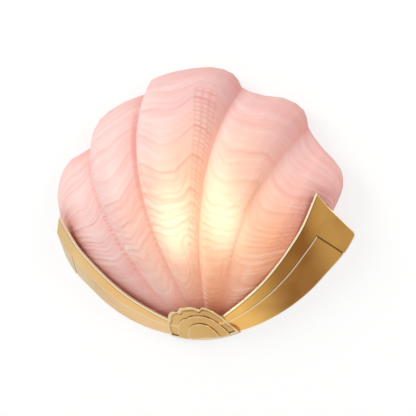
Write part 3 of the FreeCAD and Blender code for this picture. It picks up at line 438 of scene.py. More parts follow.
# Places on the rim where the four valleys end, and one line in each outer lobe.
RIM_STOPS = [(-136, 191), (-118, 203), (-52, 252.5), (49.5, 246.5), (117.5, 197.5), (136, 171)]
END = 0.90  # t at the two ends of the glass
FEET = [-END, -0.46, -0.16, -0.027, 0.027, 0.16, 0.46, END]  # t of the ends and the rim stops
SIDE_BOW = [0, 2, 0, 3, 3, 0, 2, 0]  # mm, sideways, at each of them
LOBES = [-END, -0.16, -0.027, 0.027, 0.16, END]  # t of the valleys between lobes
LOBE_SHARE = [0.55, 1, 1, 1, 0.55]  # how full each lobe is
CROWN = 11.0  # mm, a full lobe above its valleys
FRONT_BOW = [68.5, 60, 52.6, 42.6, 32.2, 24.8, 16.8, 8.6, 4.8, 1]  # mm, middle to either end
RIM_GAP, RIM_GAP_GAIN = 14.0, 8.0  # mm, wall to the rim, and more towards the ends
FOOT_DEPTH, FOOT_GAIN = 9.5, 13.0  # mm, wall to the lower edge, and more with t
SEAT = BRASS + 1.5  # mm, face of the brass to the glass behind it
END_TURN = (0.78, 0.87)  # t over which its outward direction turns sideways


def run_to(stop):
    """How far along the rim a stop lies, in mm."""
    near = np.hypot(*(RIM - stop).T)
    i, j = sorted(np.argsort(near)[:2])
    return rim_run[i] + (rim_run[j] - rim_run[i]) * near[i] / (near[i] + near[j])


rim_run = np.concatenate([[0], np.cumsum(np.hypot(*np.diff(RIM, axis=0).T))])
stop_runs = [0.0] + [run_to(stop) for stop in RIM_STOPS] + [rim_run[-1]]
print("the rim is", round(float(rim_run[-1])), "mm long")


# %% Draw the fan
def foot_of(t):
    """Point of the lower edge, behind the brass: x, depth and height."""
    (ox, oz), (dx, dz), width, lip = arm_at(abs(t))
    knee = (KNEE_ACROSS * width, KNEE_DEEP * lip)
    long, short = math.hypot(*knee), math.hypot(width - knee[0], lip - knee[1])
    out, lean = (knee[1] / long, -knee[0] / long), ((lip - knee[1]) / short, (knee[0] - width) / short)
    k = SEAT / (1 + out[0] * lean[0] + out[1] * lean[1])
    inner = (knee[0] + k * (out[0] + lean[0]), knee[1] + k * (out[1] + lean[1]))
    base = SEAT * (out[0] - knee[0] / knee[1] * out[1])
    depth = FOOT_DEPTH + FOOT_GAIN * abs(t)
    across = base + (inner[0] - base) * depth / inner[1]
    return math.copysign(ox + dx * across, t), depth, oz + dz * across


def lobe_of(t):
    """Number of the lobe, and the place across it from -1 to 1."""
    i = min(max(int(np.searchsorted(LOBES, t)) - 1, 0), len(LOBES) - 2)
    return i, 2 * (t - LOBES[i]) / (LOBES[i + 1] - LOBES[i]) - 1


def fan_line(t, s):
    """Points of one line of the plain shade, for all heights s: x, depth and height in mm."""
    fx, fd, fz = foot_of(t)
    lobe, u = lobe_of(t)
    run = np.interp(t, FEET, stop_runs)
    rx, rz = np.interp(run, rim_run, RIM[:, 0]), np.interp(run, rim_run, RIM[:, 1])
    length = math.hypot(rx - fx, rz - fz)
    bow = np.interp(t, FEET, SIDE_BOW) * 4 * s * (1 - s) * math.copysign(1, t)
    crown_rise = s ** 0.7 * (1 - s) ** 0.4 / 0.475  # both rises are about 1 at most
    front_rise = s ** 1.1 * (1 - s) / 0.2363
    crown = CROWN * LOBE_SHARE[lobe] * max(0.0, 1 - u * u) ** 1.25 * crown_rise
    rim_depth = RIM_GAP + RIM_GAP_GAIN * min(1, abs(t) / FEET[-2]) ** 2
    depth = fd + (rim_depth - fd) * s + crown + curve_through(FRONT_BOW, abs(t) / END) * front_rise
    return np.stack([fx + (rx - fx) * s + bow * (rz - fz) / length, depth,
                     fz + (rz - fz) * s - bow * (rx - fx) / length], -1)


def smooth(value, low, high):
    """0 at low and 1 at high, with a soft start and end."""
    x = np.clip((value - low) / (high - low), 0, 1)
    return x * x * (3 - 2 * x)


def fan(across, upwards):
    """The plain shade as a table of points, with the outward direction at each."""
    points = np.array([fan_line(t, upwards) for t in across])
    out = np.cross(np.gradient(points, axis=0), np.gradient(points, axis=1))
    out /= np.linalg.norm(out, axis=-1, keepdims=True) + 1e-12
    out *= np.sign(out[len(across) // 2, len(upwards) // 2, 1])
    end = smooth(np.abs(across), *END_TURN)[:, None, None]
    aside = np.stack([0.8 * np.sign(across), 0.6 + 0 * across, 0 * across], -1)[:, None]
    out = out * (1 - end) + aside * end
    return points, out / np.linalg.norm(out, axis=-1, keepdims=True)


def spread(counts):
    """Places across the shade, so many steps from each foot to the next."""
    parts = [np.linspace(FEET[i], FEET[i + 1], n, endpoint=False) for i, n in enumerate(counts)]
    return np.concatenate(parts + [[FEET[-1]]])


print("deepest point", round(float(fan_line(0.0, np.linspace(0, 1, 60))[:, 1].max()), 1),
      "mm off the wall")


# %% [markdown]
# On the real shade each lobe carries curtains of growth lines. They hang from the valleys
# like swags, with a soft step at each. Below the middle the lines crowd into fine ripples.
# So a level is worked out first, which sags across a lobe as a curtain does, and steps and
# ripples are then functions of that level.

# %% Work out the growth lines
# Places of the steps, upwards, and their height in mm.
STEPS = [(0.965, 0.15), (0.92, 0.28), (0.84, 0.50), (0.785, 0.12), (0.725, 0.50), (0.665, 0.12),
         (0.615, 0.55), (0.55, 0.2), (0.49, 0.50), (0.435, 0.25), (0.385, 0.34), (0.335, 0.2),
         (0.29, 0.22), (0.25, 0.15), (0.215, 0.15)]
SAG, SAG_MIDDLE = 0.042, 0.045  # how far curtains sag, upwards being 1, and more by the middle
# One value for each lobe, left to right:
MARK = [0.60, 0.85, 1.0, 0.60, 0.40]  # how strongly it is stepped
RIPPLE = [0.30, 0.45, 1.0, 0.9, 0.40]  # how strongly it is rippled below its middle
LOBE_SHIFT = [0.02, 0.02, 0.0, -0.05, -0.02]  # how far its steps lie lower, upwards being 1
SKEW = [1.3, 1.2, 1.6, 0.8, 0.7]  # where across it the curtains hang lowest


def bell(value, width):
    """1 where value is 0, falling away on both sides."""
    return np.exp(-(value / width) ** 2)


def growth_level(lobe, u, s, end):
    """Height of a place as the growth lines count it; the curtains hang from -1 to end."""
    hang = 2 * np.clip((u + 1) / (end + 1), 0, 1) ** SKEW[lobe] - 1
    sag = SAG + SAG_MIDDLE * bell(s - 0.6, 0.14)
    level = s + sag * (1 - hang ** 2) ** 1.3 + LOBE_SHIFT[lobe]
    return level + 0.003 * np.sin(9 * u + 25 * s) * smooth(s, 0.95, 0.8)


def growth_steps(level, strength):
    """Height of the steps in mm, and the soft shade under each."""
    height = shade_below = 0.0
    for place, size in STEPS:
        gap = level - place
        fall = np.exp(-np.maximum(gap, 0) / 0.035)
        height = height + size * strength * smooth(gap, -0.003, 0.004) * fall
        shade_below = shade_below + size * strength * (
            0.8 * bell(gap + 0.003, 0.005) + 0.4 * bell(gap + 0.012, 0.012))
    return height, shade_below


def ripples(lobe, u, s, level):
    """Waves from -1 to 1, their height in mm, and how crowded they are from 0 to 1."""
    close = smooth(s, 0.66, 0.42)
    many = 26 + 8 * close + 26 * smooth(s, 0.30, 0.12)
    turn = 2 * math.pi * (level * many + 0.25 * np.sin(5 * u + 2 * lobe))
    wave = (np.sin(turn) + 0.4 * np.sin(2 * turn + 0.6)) / 1.2
    crowd = close * RIPPLE[lobe]
    beside = smooth(-u, 0.35, 0.8) * smooth(s, 0.97, 0.8)
    return wave, 0.02 + 0.38 * crowd * (1 - 0.5 * smooth(s, 0.22, 0.1)) + 0.14 * beside, crowd


print("growth steps:", len(STEPS))


# %% [markdown]
# Beside the valleys there are bands of little squares, as if pressed with a basket. A band
# is a left edge that wanders as it rises, and a width; its squares are three across, and
# their rows are listed one by one, because on the real glass they are uneven.

# %% Work out the bands of little squares
# For each lobe: heights, the band's left edge at each from -1 to 1 across, and its width.
BASKET = [([.3, .9], [.86, .86], .12), ([.2, .9], [.84, .82], .13),
          ([.295, .445, .60, .72, .87], [.50, .62, .56, .48, .28], .42),
          ([.33, .65], [.86, .78], .18),
          ([.30, .38, .47, .56, .65], [-.45, -.36, -.27, -.24, -.21], .27)]
ROWS = [.2, .23, .26, .29, .315, .34, .365, .39, .415, .44, .465, .49, .507, .525, .542, .56,
        .587, .615, .632, .65, .667, .685, .705, .725, .745, .765, .785, .80, .82, .84, .87, .885]
COLUMNS = 3


def little_squares(lobe, u, s):
    """Left edge of the band, how far a place is inside it, and the ridges round its squares."""
    heights, lefts, width = BASKET[lobe]
    left = np.interp(s, heights, lefts)
    place = (u - left) / width
    top = heights[-1]
    inside = (smooth(place, -0.04, 0.04) * smooth(place, 1.04, 0.96) * smooth(s, 0.15, 0.35)
              * smooth(s, 0.90, 0.87) * smooth(s, top + 0.05, top))
    column, row = place * COLUMNS, np.interp(s, ROWS, range(len(ROWS)))
    return left, inside, np.maximum(bell(column - np.round(column), 0.15),
                                    bell(row - np.round(row), 0.17))


print("rows of little squares:", len(ROWS) - 1)


# %% [markdown]
# Now steps, ripples and squares are added up, as heights above or below the plain shade.
# The finish will need to know more of each place than its height, to paint shade and
# highlights: whether it lies under a step, in a valley, on the lit flank of a lobe, or close
# behind the brass. All of that is known here, so it is kept in the same go.

# %% Add up the relief
# Painted shade lies on the glass close behind the lip of the brass.
BRASS_SHADE_REACH = 11.0  # mm, how far from the lip of the brass the glass is darker


def relief(across, upwards):
    """Height of the pattern in mm, and what else the finish needs to know of each place."""
    s, columns = upwards, []
    lip = np.array([[curve_through(ARM[:, k], t) for k in (2, 3)] for t in np.linspace(0, 1, 61)])
    for t in across:
        lobe, u = lobe_of(t)
        left, inside, ridge = little_squares(lobe, u, s)
        level = growth_level(lobe, u, s, left if lobe < 3 else 1.0)
        quiet = smooth(1 - abs(u), 0.0, 0.30)  # no marks in the valleys
        step, shade_below = growth_steps(level, MARK[lobe] * quiet)
        wave, force, crowd = ripples(lobe, u, s, level)
        to_lip = np.hypot(*(np.abs(fan_line(t, s))[:, None, ::2] - lip).T).min(0)
        columns.append({
            "height": step + wave * force * quiet ** 0.5 + inside * (0.5 * ridge - 0.2),
            # painted shade under each step and in the troughs of the ripples
            "crease": shade_below + 0.26 * crowd * (0.5 - 0.5 * wave) * quiet ** 0.5,
            # painted shade in the valleys, strongest on the left side of each
            "valley": smooth(s, 0.0, 0.2) * (np.exp(-((1 - u) / 0.30) ** 1.5)
                                             + 0.6 * np.exp(-((1 + u) / 0.10) ** 1.5)),
            # painted highlight on the lit left flank of a lobe
            "flank": bell(u + 0.72, 0.20) * (0.75 + 0.25 * wave) * (lobe > 1),
            "weave": inside * ridge,
            "growth": level,
            # painted shade close behind the lip of the brass
            "tuck": np.exp(-(to_lip / BRASS_SHADE_REACH) ** 1.5)})
    kept = {name: np.array([column[name] for column in columns]) for name in columns[0]}
    return kept.pop("height"), kept


print("kept for the finish:", list(relief(np.array([0.0]), np.array([0.5]))[1]))


# %% [markdown]
# The shade could be a flat sheet with a picture of lines on it, but the lines catch light
# from the side, so they are really there: a grid primitive with a few hundred rows, whose
# points are moved to the fan and then out by the relief. A second, coarser grid makes the
# smooth inside, and a bridge between their borders closes the ground edge of the glass.

# %% Press the outside of the glass
EDGE = 1.9  # mm, rounding of the border
SIDE_RUN, END_RUN = 180.0, 200.0  # mm across a whole t, and up a whole s


def pressed_sheet(points):
    """A grid primitive whose points go to a table of places in mm."""
    columns, rows = points.shape[:2]
    bpy.ops.object.select_all(action="DESELECT")
    bpy.ops.mesh.primitive_grid_add(x_subdivisions=columns - 1, y_subdivisions=rows - 1, size=2)
    sheet = bpy.context.active_object
    spots = np.empty(len(sheet.data.vertices) * 3)
    sheet.data.vertices.foreach_get("co", spots)
    spots = spots.reshape(-1, 3)
    i = np.rint((spots[:, 0] + 1) / 2 * (columns - 1)).astype(int)
    j = np.rint((spots[:, 1] + 1) / 2 * (rows - 1)).astype(int)
    x, depth, height = points[i, j].T
    spots = np.stack([x, -depth, height - ORIGIN_RISE], -1) / 1000
    sheet.data.vertices.foreach_set("co", spots.ravel())
    return sheet, i, j


def keep_value(sheet, name, table, i, j):
    """Stores a value at each point of the mesh for the material to read."""
    kept = sheet.data.attributes.new(name, "FLOAT", "POINT")
    kept.data.foreach_set("value", table[i, j].astype(np.float32))


def to_border(across, upwards):
    """How far each place is from the border of the glass, in mm."""
    return np.minimum((END - np.abs(across))[:, None] * SIDE_RUN,
                      np.minimum(1 - upwards, upwards)[None, :] * END_RUN)


def rounding(across, upwards):
    """How far the surface falls back near the border, in mm."""
    near = np.minimum(to_border(across, upwards), EDGE) / EDGE
    return EDGE * (1 - np.sqrt(np.maximum(0, 1 - (1 - near) ** 2)))


# The border is round, so rows and columns are closer together there.
across = spread([34, 22, 46, 70, 46, 24, 36])
across = np.sort(np.concatenate([across, [-0.8985, -0.8955, 0.8955, 0.8985]]))
upwards = np.concatenate([[0, 0.002, 0.006], np.linspace(0.012, 0.984, 264),
                          [0.9885, 0.993, 0.9965, 0.999, 1.0]])
plain, outward = fan(across, upwards)
height, kept = relief(across, upwards)
still = smooth(np.minimum(1 - upwards, upwards), 0.0, 0.015)[None, :]
moved = height * still - rounding(across, upwards)
outer, i, j = pressed_sheet(plain + outward * moved[..., None])
for name, table in kept.items():
    keep_value(outer, name, table, i, j)
outer.name = "pressed_shade"
print("outside:", len(outer.data.polygons), "faces")


# %% Press the inside and close the edge
GLASS, GLASS_EDGE = 4.0, 2.0  # mm thick, and at the edge
TAPER = 7.0  # mm over which it gets thinner


def only(*things):
    """Selects these and nothing else; the last one is the active one."""
    bpy.ops.object.select_all(action="DESELECT")
    for thing in things:
        thing.select_set(True)
    bpy.context.view_layer.objects.active = things[-1]


few_across, few_up = spread([18, 12, 12, 16, 12, 12, 18]), np.linspace(0, 1, 46)
plain, outward = fan(few_across, few_up)
sunk = GLASS - (GLASS - GLASS_EDGE) * bell(to_border(few_across, few_up), TAPER)
sunk[[0, -1], :] = sunk[:, [0, -1]] = EDGE + 0.05  # just behind the rounded border
inner, i, j = pressed_sheet(plain - outward * sunk[..., None])
for name in kept:
    keep_value(inner, name, np.zeros_like(sunk), i, j)
bpy.ops.object.mode_set(mode="EDIT")
bpy.ops.mesh.select_all(action="SELECT")
bpy.ops.mesh.flip_normals()
bpy.ops.object.mode_set(mode="OBJECT")

only(inner, outer)
bpy.ops.object.join()
bpy.ops.object.mode_set(mode="EDIT")
bpy.ops.mesh.select_mode(type="EDGE")
bpy.ops.mesh.select_all(action="DESELECT")
bpy.ops.mesh.select_non_manifold()
bpy.ops.mesh.bridge_edge_loops()
bpy.ops.mesh.select_all(action="DESELECT")
bpy.ops.mesh.select_non_manifold()
bpy.ops.object.mode_set(mode="OBJECT")
open_edges = sum(edge.select for edge in outer.data.edges)
bpy.ops.object.shade_smooth()
shade = outer
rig.ride(shade, "shade")
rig.replaces(shade, "glass_shade")
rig.slot(shade, "pink_glass")
print("shade:", len(shade.data.polygons), "faces,", open_edges, "open edges")


# %% [markdown]
# Frosted pink glass scatters light inside it, so it has no sharp reflections: it is rough
# and a little soft within. Its pink is laid on in layers, from large to small: deeper to the
# right as painted shade, greyer at the top, brick red low down, a painted warm glow low on the
# right, painted shade close behind the brass, a painted highlight on the lit flanks, silky
# streaks along the growth lines, painted shade in the valleys and under the growth steps, and
# deeper along the rim, where one looks through more glass.

# %% Colour the glass
frost = Finish("frosted_pink_glass", tone(240, 200, 195), roughness=0.42, Specular_IOR_Level=0.28,
               Subsurface_Weight=0.25, Subsurface_Radius=(0.012, 0.006, 0.004),
               Subsurface_Scale=0.5, Coat_Weight=0.06, Coat_Roughness=0.3,
               Emission_Strength=1.0)
x, z = frost.along("X"), frost.along("Z")
up = frost.add("SeparateXYZ", sockets={0: frost.add("UVMap", {"uv_map": "UVMap"})}, output=1)
lines, weave, valley, growth = (frost.own(name) for name in ("crease", "weave", "valley", "growth"))
cloud = frost.noise(14.0, 2.0)
silk = frost.add("CombineXYZ", sockets={0: x * 14.0, 1: growth * 34.0, 2: z * 5.0})
silk = frost.noise(1.0, 3.0, 0.6, silk)
# A painted warm glow of the bulb, low on the right lobes.
warm_glow = frost.near((0.088, -0.046, -0.048), 0.075)
brick = frost.near((0.036, -0.042, -0.088), 0.080)
deep = valley * (0.34 + frost.between(up, 0.5, 0.15) * 0.26) + frost.between(up, 0.90, 1.0) * 0.25
skin = frost.layers(
    tone(242, 206, 200),
    # painted shade: deeper pink towards the right, the side away from the light
    (frost.between(x, -0.10, 0.15), tone(244, 194, 187)),
    (frost.between(z, 0.06, 0.14) * 0.4, tone(228, 186, 184)),
    (frost.between(cloud, 0.35, 0.75, 0.0, 0.3), tone(242, 192, 184)),
    # painted warm glow of the bulb
    (warm_glow * 0.7, tone(250, 170, 120)),
    (brick * 0.9, tone(208, 114, 84)),
    # painted shade close behind the brass
    (frost.own("tuck") * 0.7, tone(186, 92, 70)),
    # painted highlight on the lit left flanks
    (frost.own("flank") * 0.45, tone(252, 220, 214)),
    (frost.between(silk, 0.50, 0.74) * 0.42, tone(255, 232, 228)),
    (frost.between(silk, 0.50, 0.28) * 0.36, tone(232, 158, 150)),
    # painted shade in the valleys, and a deeper rim where one looks through more glass
    (deep, tone(234, 146, 136)),
    (frost.between(up, 0.985, 0.998) * 0.8, tone(206, 104, 108)),
    # painted shade under the steps and in the ripples; the ridges of the little squares are darker
    (lines * 0.5 + weave * 0.35, tone(214, 112, 96)))
print("layers so far use", len(frost.tree.nodes), "nodes")


# %% [markdown]
# The bulb behind the glass adds a cream light that fades with distance, with a bright core
# in the crown of each of the two lobes in front of it. Real light through real glass would
# take long to work out and would be lost in the export, so it is painted from places on the
# glass and stays put from every side. Lines and valleys dim it.

# %% Light the glass from within
halo = frost.near((0.034, -0.080, -0.020), 0.115, 1.2)
cores = (frost.near((0.002, -0.080, -0.022), 0.034, 2.2)
         + frost.near((0.052, -0.077, -0.020), 0.031, 2.2))
frost.put(Base_Color=frost.layers(skin, (halo * 0.55, tone(252, 202, 150)),
                                  (cores * 0.6, tone(255, 242, 212))))
lamp_light = frost.layers((0.0, 0.0, 0.0), (halo, (0.26, 0.13, 0.045)), (cores, (0.38, 0.38, 0.23)))
dim = 1 - (lines * 0.6 + weave * 0.35 + valley * 0.3)
frost.put(Emission_Color=frost.add("VectorMath", {"operation": "SCALE"},
                                   {0: lamp_light, "Scale": dim}))
grain = frost.noise(900.0, 2.0)
fine = frost.add("Math", {"operation": "SINE"}, {0: growth * 560.0})
frost.put(Normal=frost.bump(grain * 0.6 + fine * 0.4, 0.00010, 0.3))
shade.data.materials.clear()
shade.data.materials.append(frost.material)
print("shade finish has", len(frost.tree.nodes), "nodes")


# %% [markdown]
# An arm of the cradle is a bent strip of cast brass: an outer panel, a fine engraved line,
# a border and a flat lip that shines along its edge. Edges this crisp need their own
# rounding, which a plain extrusion lacks. So the section is drawn corner by corner, each
# corner a small curve, and a grid of sections along the arm is closed into a tube of metal.

# %% Draw the section of an arm
LINE_DEEP, PANEL_LOW = 1.2, 0.35  # mm, the engraved line and the panel
TIP_RUN, TIP_ROUND = 185.0, 4.0  # mm up a whole t by the tip, and its round corner
PANEL_START, PANEL_END = (0.08, 0.10), 0.874  # t, where it sinks in, and its end by the tip
CROSS = [0.866, 0.8715, 0.8725, 0.8748]  # t, where the line that ends the panel dips and rises
CORNER_STEPS = 4  # points on each corner


def round_corners(corners):
    """A closed line whose corners (a, d, radius) are eased."""
    spots = [np.array(c[:2]) for c in corners]
    line = []
    for k, (_, _, radius) in enumerate(corners):
        here, before, after = spots[k], spots[k - 1], spots[(k + 1) % len(spots)]
        into, out = before - here, after - here
        into = into / np.linalg.norm(into) * min(radius, 0.45 * np.linalg.norm(into))
        out = out / np.linalg.norm(out) * min(radius, 0.45 * np.linalg.norm(out))
        for f in np.linspace(0, 1, CORNER_STEPS):
            line.append(here + into * (1 - f) ** 2 + out * f ** 2)
    return np.array(line)


def arm_profile(t):
    """Section of the arm: distance in from its outer edge, and depth. It has 16 corners."""
    _, _, width, lip = arm_at(t)
    outer_edge, knee = np.zeros(2), np.array((KNEE_ACROSS * width, KNEE_DEEP * lip))
    front = np.array((width, lip))
    left = min((1 - t) * TIP_RUN, TIP_ROUND)  # mm to the end, where it is round
    short = TIP_ROUND - math.sqrt(TIP_ROUND ** 2 - (TIP_ROUND - left) ** 2)
    outer_edge = outer_edge + (knee - outer_edge) / np.linalg.norm(knee - outer_edge) * short
    long = np.linalg.norm(knee - outer_edge)
    u1, u2 = (knee - outer_edge) / long, (front - knee) / np.linalg.norm(front - knee)
    n1, n2 = np.array((u1[1], -u1[0])), np.array((u2[1], -u2[0]))  # into the metal
    on = float(smooth(t, *PANEL_START) * (t < PANEL_END))  # 1 along the panel
    cross = float(np.interp(t, CROSS, [0, 1, 1, 0]))
    low = on * PANEL_LOW * (1 - cross) + cross * LINE_DEEP
    cut = max(on, cross) * LINE_DEEP if t < CROSS[-1] else 0.0
    inner = knee + BRASS / (1 + u1 @ u2) * (n1 + n2)
    foot = np.array((BRASS * n1[0] - BRASS * u1[0] / u1[1] * n1[1], 0.0))
    edge = outer_edge + n1 * low - u1 * (n1 * low)[1] / u1[1]
    sunk = n1 * low
    return round_corners([
        # 0 to 4, the panel, and 5, the engraved line beside it
        (*edge, 0.5), (*(outer_edge + u1 * 2.2 + sunk), 0.3),
        (*(outer_edge + u1 * long * 0.5 + sunk), 1.0), (*(knee - u1 * 2.9 + sunk), 0.3),
        (*(knee - u1 * 1.9 + sunk), 0.5), (*(knee - u1 * 0.9 + n1 * max(cut, low)), 0.4),
        # 6 to 9, the border, which swells by a quarter of a millimetre
        (*knee, 0.5), (*(knee * 0.5 + front * 0.5 - n2 * 0.25), 3.0),
        (*(front - u2 * 3.2), 0.3), (*(front - u2 * 2.2), 0.3),
        # 10 to 12, the lip, and 13 to 15, the back
        (*(front - u2 * 1.3), 0.3), (*front, 0.7), (*(front + n2 * BRASS), 0.5),
        (*(front + n2 * BRASS - u2 * 1.4), 0.3), (*inner, 2.0), (*foot, 0.5)])


print("points round a section:", len(arm_profile(0.5)))


# %% [markdown]
# Behind the brass each arm has a flat ear with two holes, through which screws hold it to
# the strap. It is drawn as a circle primitive whose points go to the outline of the ear,
# extruded to its thickness and joined on by a boolean; the holes are cylinders cut away.

# %% Make the ears and the tools
LUG_BACK, LUG_THICK = 3.6, 2.5  # mm, wall to the ear, and its thickness
LUG_REACH = 46.0  # mm, middle to the far side of the ear
HOLES, HOLE_RADIUS = ((9.5, 27.0), (24.5, 33.0)), 2.15  # mm


def close_ends(thing):
    """Caps the open ends of a tube and makes every face point outwards."""
    only(thing)
    bpy.ops.object.mode_set(mode="EDIT")
    bpy.ops.mesh.select_all(action="SELECT")
    bpy.ops.mesh.remove_doubles(threshold=0.000002)
    bpy.ops.mesh.select_all(action="DESELECT")
    bpy.ops.mesh.select_non_manifold()
    bpy.ops.mesh.fill_holes(sides=0)
    bpy.ops.mesh.select_all(action="SELECT")
    bpy.ops.mesh.normals_make_consistent(inside=False)
    bpy.ops.object.mode_set(mode="OBJECT")


def apply_modifier(thing, kind, **settings):
    """Adds a modifier and makes its result the mesh."""
    modifier = thing.modifiers.new(kind.title(), kind)
    for name, value in settings.items():
        setattr(modifier, name, value)
    only(thing)
    bpy.ops.object.modifier_apply(modifier=modifier.name)


def screw_hole(x, height):
    """A cylinder to cut a screw hole with."""
    bpy.ops.object.select_all(action="DESELECT")
    bpy.ops.mesh.primitive_cylinder_add(
        vertices=40, radius=HOLE_RADIUS / 1000, depth=0.02, rotation=(math.radians(90), 0, 0),
        location=(x / 1000, -0.005, (height - ORIGIN_RISE) / 1000))
    return bpy.context.active_object


def lug(side):
    """The flat ear inside an arm that its two screws go through."""
    line = []
    for t in np.linspace(0.0, 0.34, 14):
        (ox, oz), (dx, dz), width, lip = arm_at(t)
        knee = (KNEE_ACROSS * width, KNEE_DEEP * lip)
        n = np.array((knee[1], -knee[0])) / math.hypot(*knee)
        a = (LUG_BACK + LUG_THICK / 2) * knee[0] / knee[1] + 0.6 * BRASS * (n[0] + n[1] ** 2 / n[0])
        line.append((max(ox + dx * a, 0.4), oz + dz * a))
    line += [(LUG_REACH, 22), (33, 40), (17, 38), (0.4, 33)]
    line = [p for p in line if p[0] <= LUG_REACH + 0.01]
    bpy.ops.object.select_all(action="DESELECT")
    bpy.ops.mesh.primitive_circle_add(vertices=len(line), radius=0.01, fill_type="NGON")
    ear = bpy.context.active_object
    for vertex, (px, pz) in zip(ear.data.vertices, line):
        vertex.co = (side * px / 1000, -LUG_BACK / 1000, (pz - ORIGIN_RISE) / 1000)
    bpy.ops.object.mode_set(mode="EDIT")
    bpy.ops.mesh.select_all(action="SELECT")
    bpy.ops.mesh.extrude_region_move(TRANSFORM_OT_translate={"value": (0, -LUG_THICK / 1000, 0)})
    bpy.ops.mesh.select_all(action="SELECT")
    bpy.ops.mesh.normals_make_consistent(inside=False)
    bpy.ops.object.mode_set(mode="OBJECT")
    return ear


print("screw holes at", HOLES, "mm, radius", HOLE_RADIUS)


# %% [markdown]
# Both arms come from one function, mirrored by the sign of x and not by a negative scale,
# which would turn them inside out. Two masks are kept at each point: a painted highlight on
# the lip and along the bright edges, and painted shade in the engraved line.

# %% Cast both arms
# Places of the sections: even along the panel, and close where the line crosses and at the tip.
stations = np.sort(np.concatenate([
    np.linspace(0.0, 0.8645, 74), CROSS, [0.8675, 0.8695, 0.8735, 0.8762],
    np.linspace(0.881, 0.970, 9), 1 - np.array([21, 15, 10, 6, 3, 1, 0]) / 1000]))
LINE_FROM, LINE_TURN, LINE_TO = 0.09, 0.8705, 0.8745  # t of the brown along the line, and across


def cast_arm(side, name):
    """The whole arm on one side: 1 is right, -1 is left."""
    table = []
    for t in stations:
        (ox, oz), (dx, dz), _, _ = arm_at(t)
        section = arm_profile(t)
        section = np.vstack([section, section[:1]])
        x = np.maximum(ox + dx * section[:, 0], 0.1) * side
        table.append(np.stack([x, section[:, 1], oz + dz * section[:, 0]], -1))
    table = np.array(table)
    arm, i, j = pressed_sheet(table)
    t = stations[:, None]
    corner = np.minimum(np.arange(table.shape[1]) // CORNER_STEPS, 15)[None, :]
    along = (t > LINE_FROM) & (t < LINE_TURN)
    ending = (t > LINE_TURN) & (t < LINE_TO)
    # Painted highlights on the lip, the outer edge, the edge of the panel and the tip.
    lit_edges = along & (corner < 5) & ((corner == 4) | (t > 0.868)) | (corner == 0) | (t > 0.998)
    bright = ((corner > 9) & (corner < 13)) + 0.6 * lit_edges
    # Painted shade in the engraved line and on the border beside the lip.
    brown = (along & (corner == 5) | ending & (corner < 6)) + 0.6 * (corner == 9)
    for kind, where in (("polish", bright), ("hollow", brown)):
        keep_value(arm, kind, np.broadcast_to(where, table.shape[:2]) * 1.0, i, j)
    close_ends(arm)
    tools = [(lug(side), "UNION")] + [(screw_hole(side * x, z), "DIFFERENCE") for x, z in HOLES]
    for tool, way in tools:
        apply_modifier(arm, "BOOLEAN", object=tool, operation=way, solver="EXACT")
        bpy.data.objects.remove(tool)
    apply_modifier(arm, "BEVEL", width=0.0003, segments=2, limit_method="ANGLE",
                   angle_limit=math.radians(50))
    bpy.ops.object.shade_smooth_by_angle(angle=math.radians(35))
    arm.name = name
    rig.ride(arm, "base")
    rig.slot(arm, "brass")
    return arm


right_arm, left_arm = cast_arm(1, "cast_right_arm"), cast_arm(-1, "cast_left_arm")
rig.replaces(right_arm, "cradle_right_arm")
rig.replaces(left_arm, "cradle_left_arm")
print("arms:", len(right_arm.data.polygons), "faces each")


# %% [markdown]
# The medallion that hides the joint of the arms is three stacked plates, each a scalloped
# oval seen from the front. Castings are never knife sharp, and the rim of the lowest plate
# is so round that its scallops shine like a cord; a painted highlight lies on the rounded
# edges, with painted shade in the dip before the bead. So each plate is a grid wound round
# its outline: from its middle out over the top, round the edge, and back along the underside.

# %% Draw a plate on the cradle
PLATE_REACH = 43.0  # mm, about how far the medallion's part of an arm runs
PLATE_PART = 0.29  # t of the arm at that reach
LEAN, LEAN_GAIN = 1.28, 0.72  # mm of depth for each mm inwards, and more by that reach
MIDDLE = 30  # marks a point that lies at the middle of a plate


def scallops(half, foot, top, dips):
    """Upper edge of a plate, right to left: x and height. A dip has a place, width and depth."""
    u = np.linspace(1, -1, 97)
    arch = (1 - np.abs(u) ** 2.6) ** 0.75
    dip = sum(depth * bell(u - middle, width) for middle, width, depth in dips)
    return np.stack([half * u, foot + (top - foot) * (arch - dip)], -1)


def on_cradle(x, rise, lift):
    """Where the leaning front of the cradle is at x and a height, and lift above it."""
    place = min(abs(x) / PLATE_REACH, 1.0)
    for _ in range(8):
        (ox, oz), (dx, dz), _, _ = arm_at(place * PLATE_PART)
        a = (rise - oz) / dz
        place = min(max(place + (abs(x) - ox - dx * a) / PLATE_REACH, 0.0), 1.0)
    slope = LEAN + LEAN_GAIN * min(1.0, place * 1.05) ** 2
    norm = math.hypot(1, slope)
    return x, max((a + lift * slope / norm) * slope + lift / norm, 0.1), rise


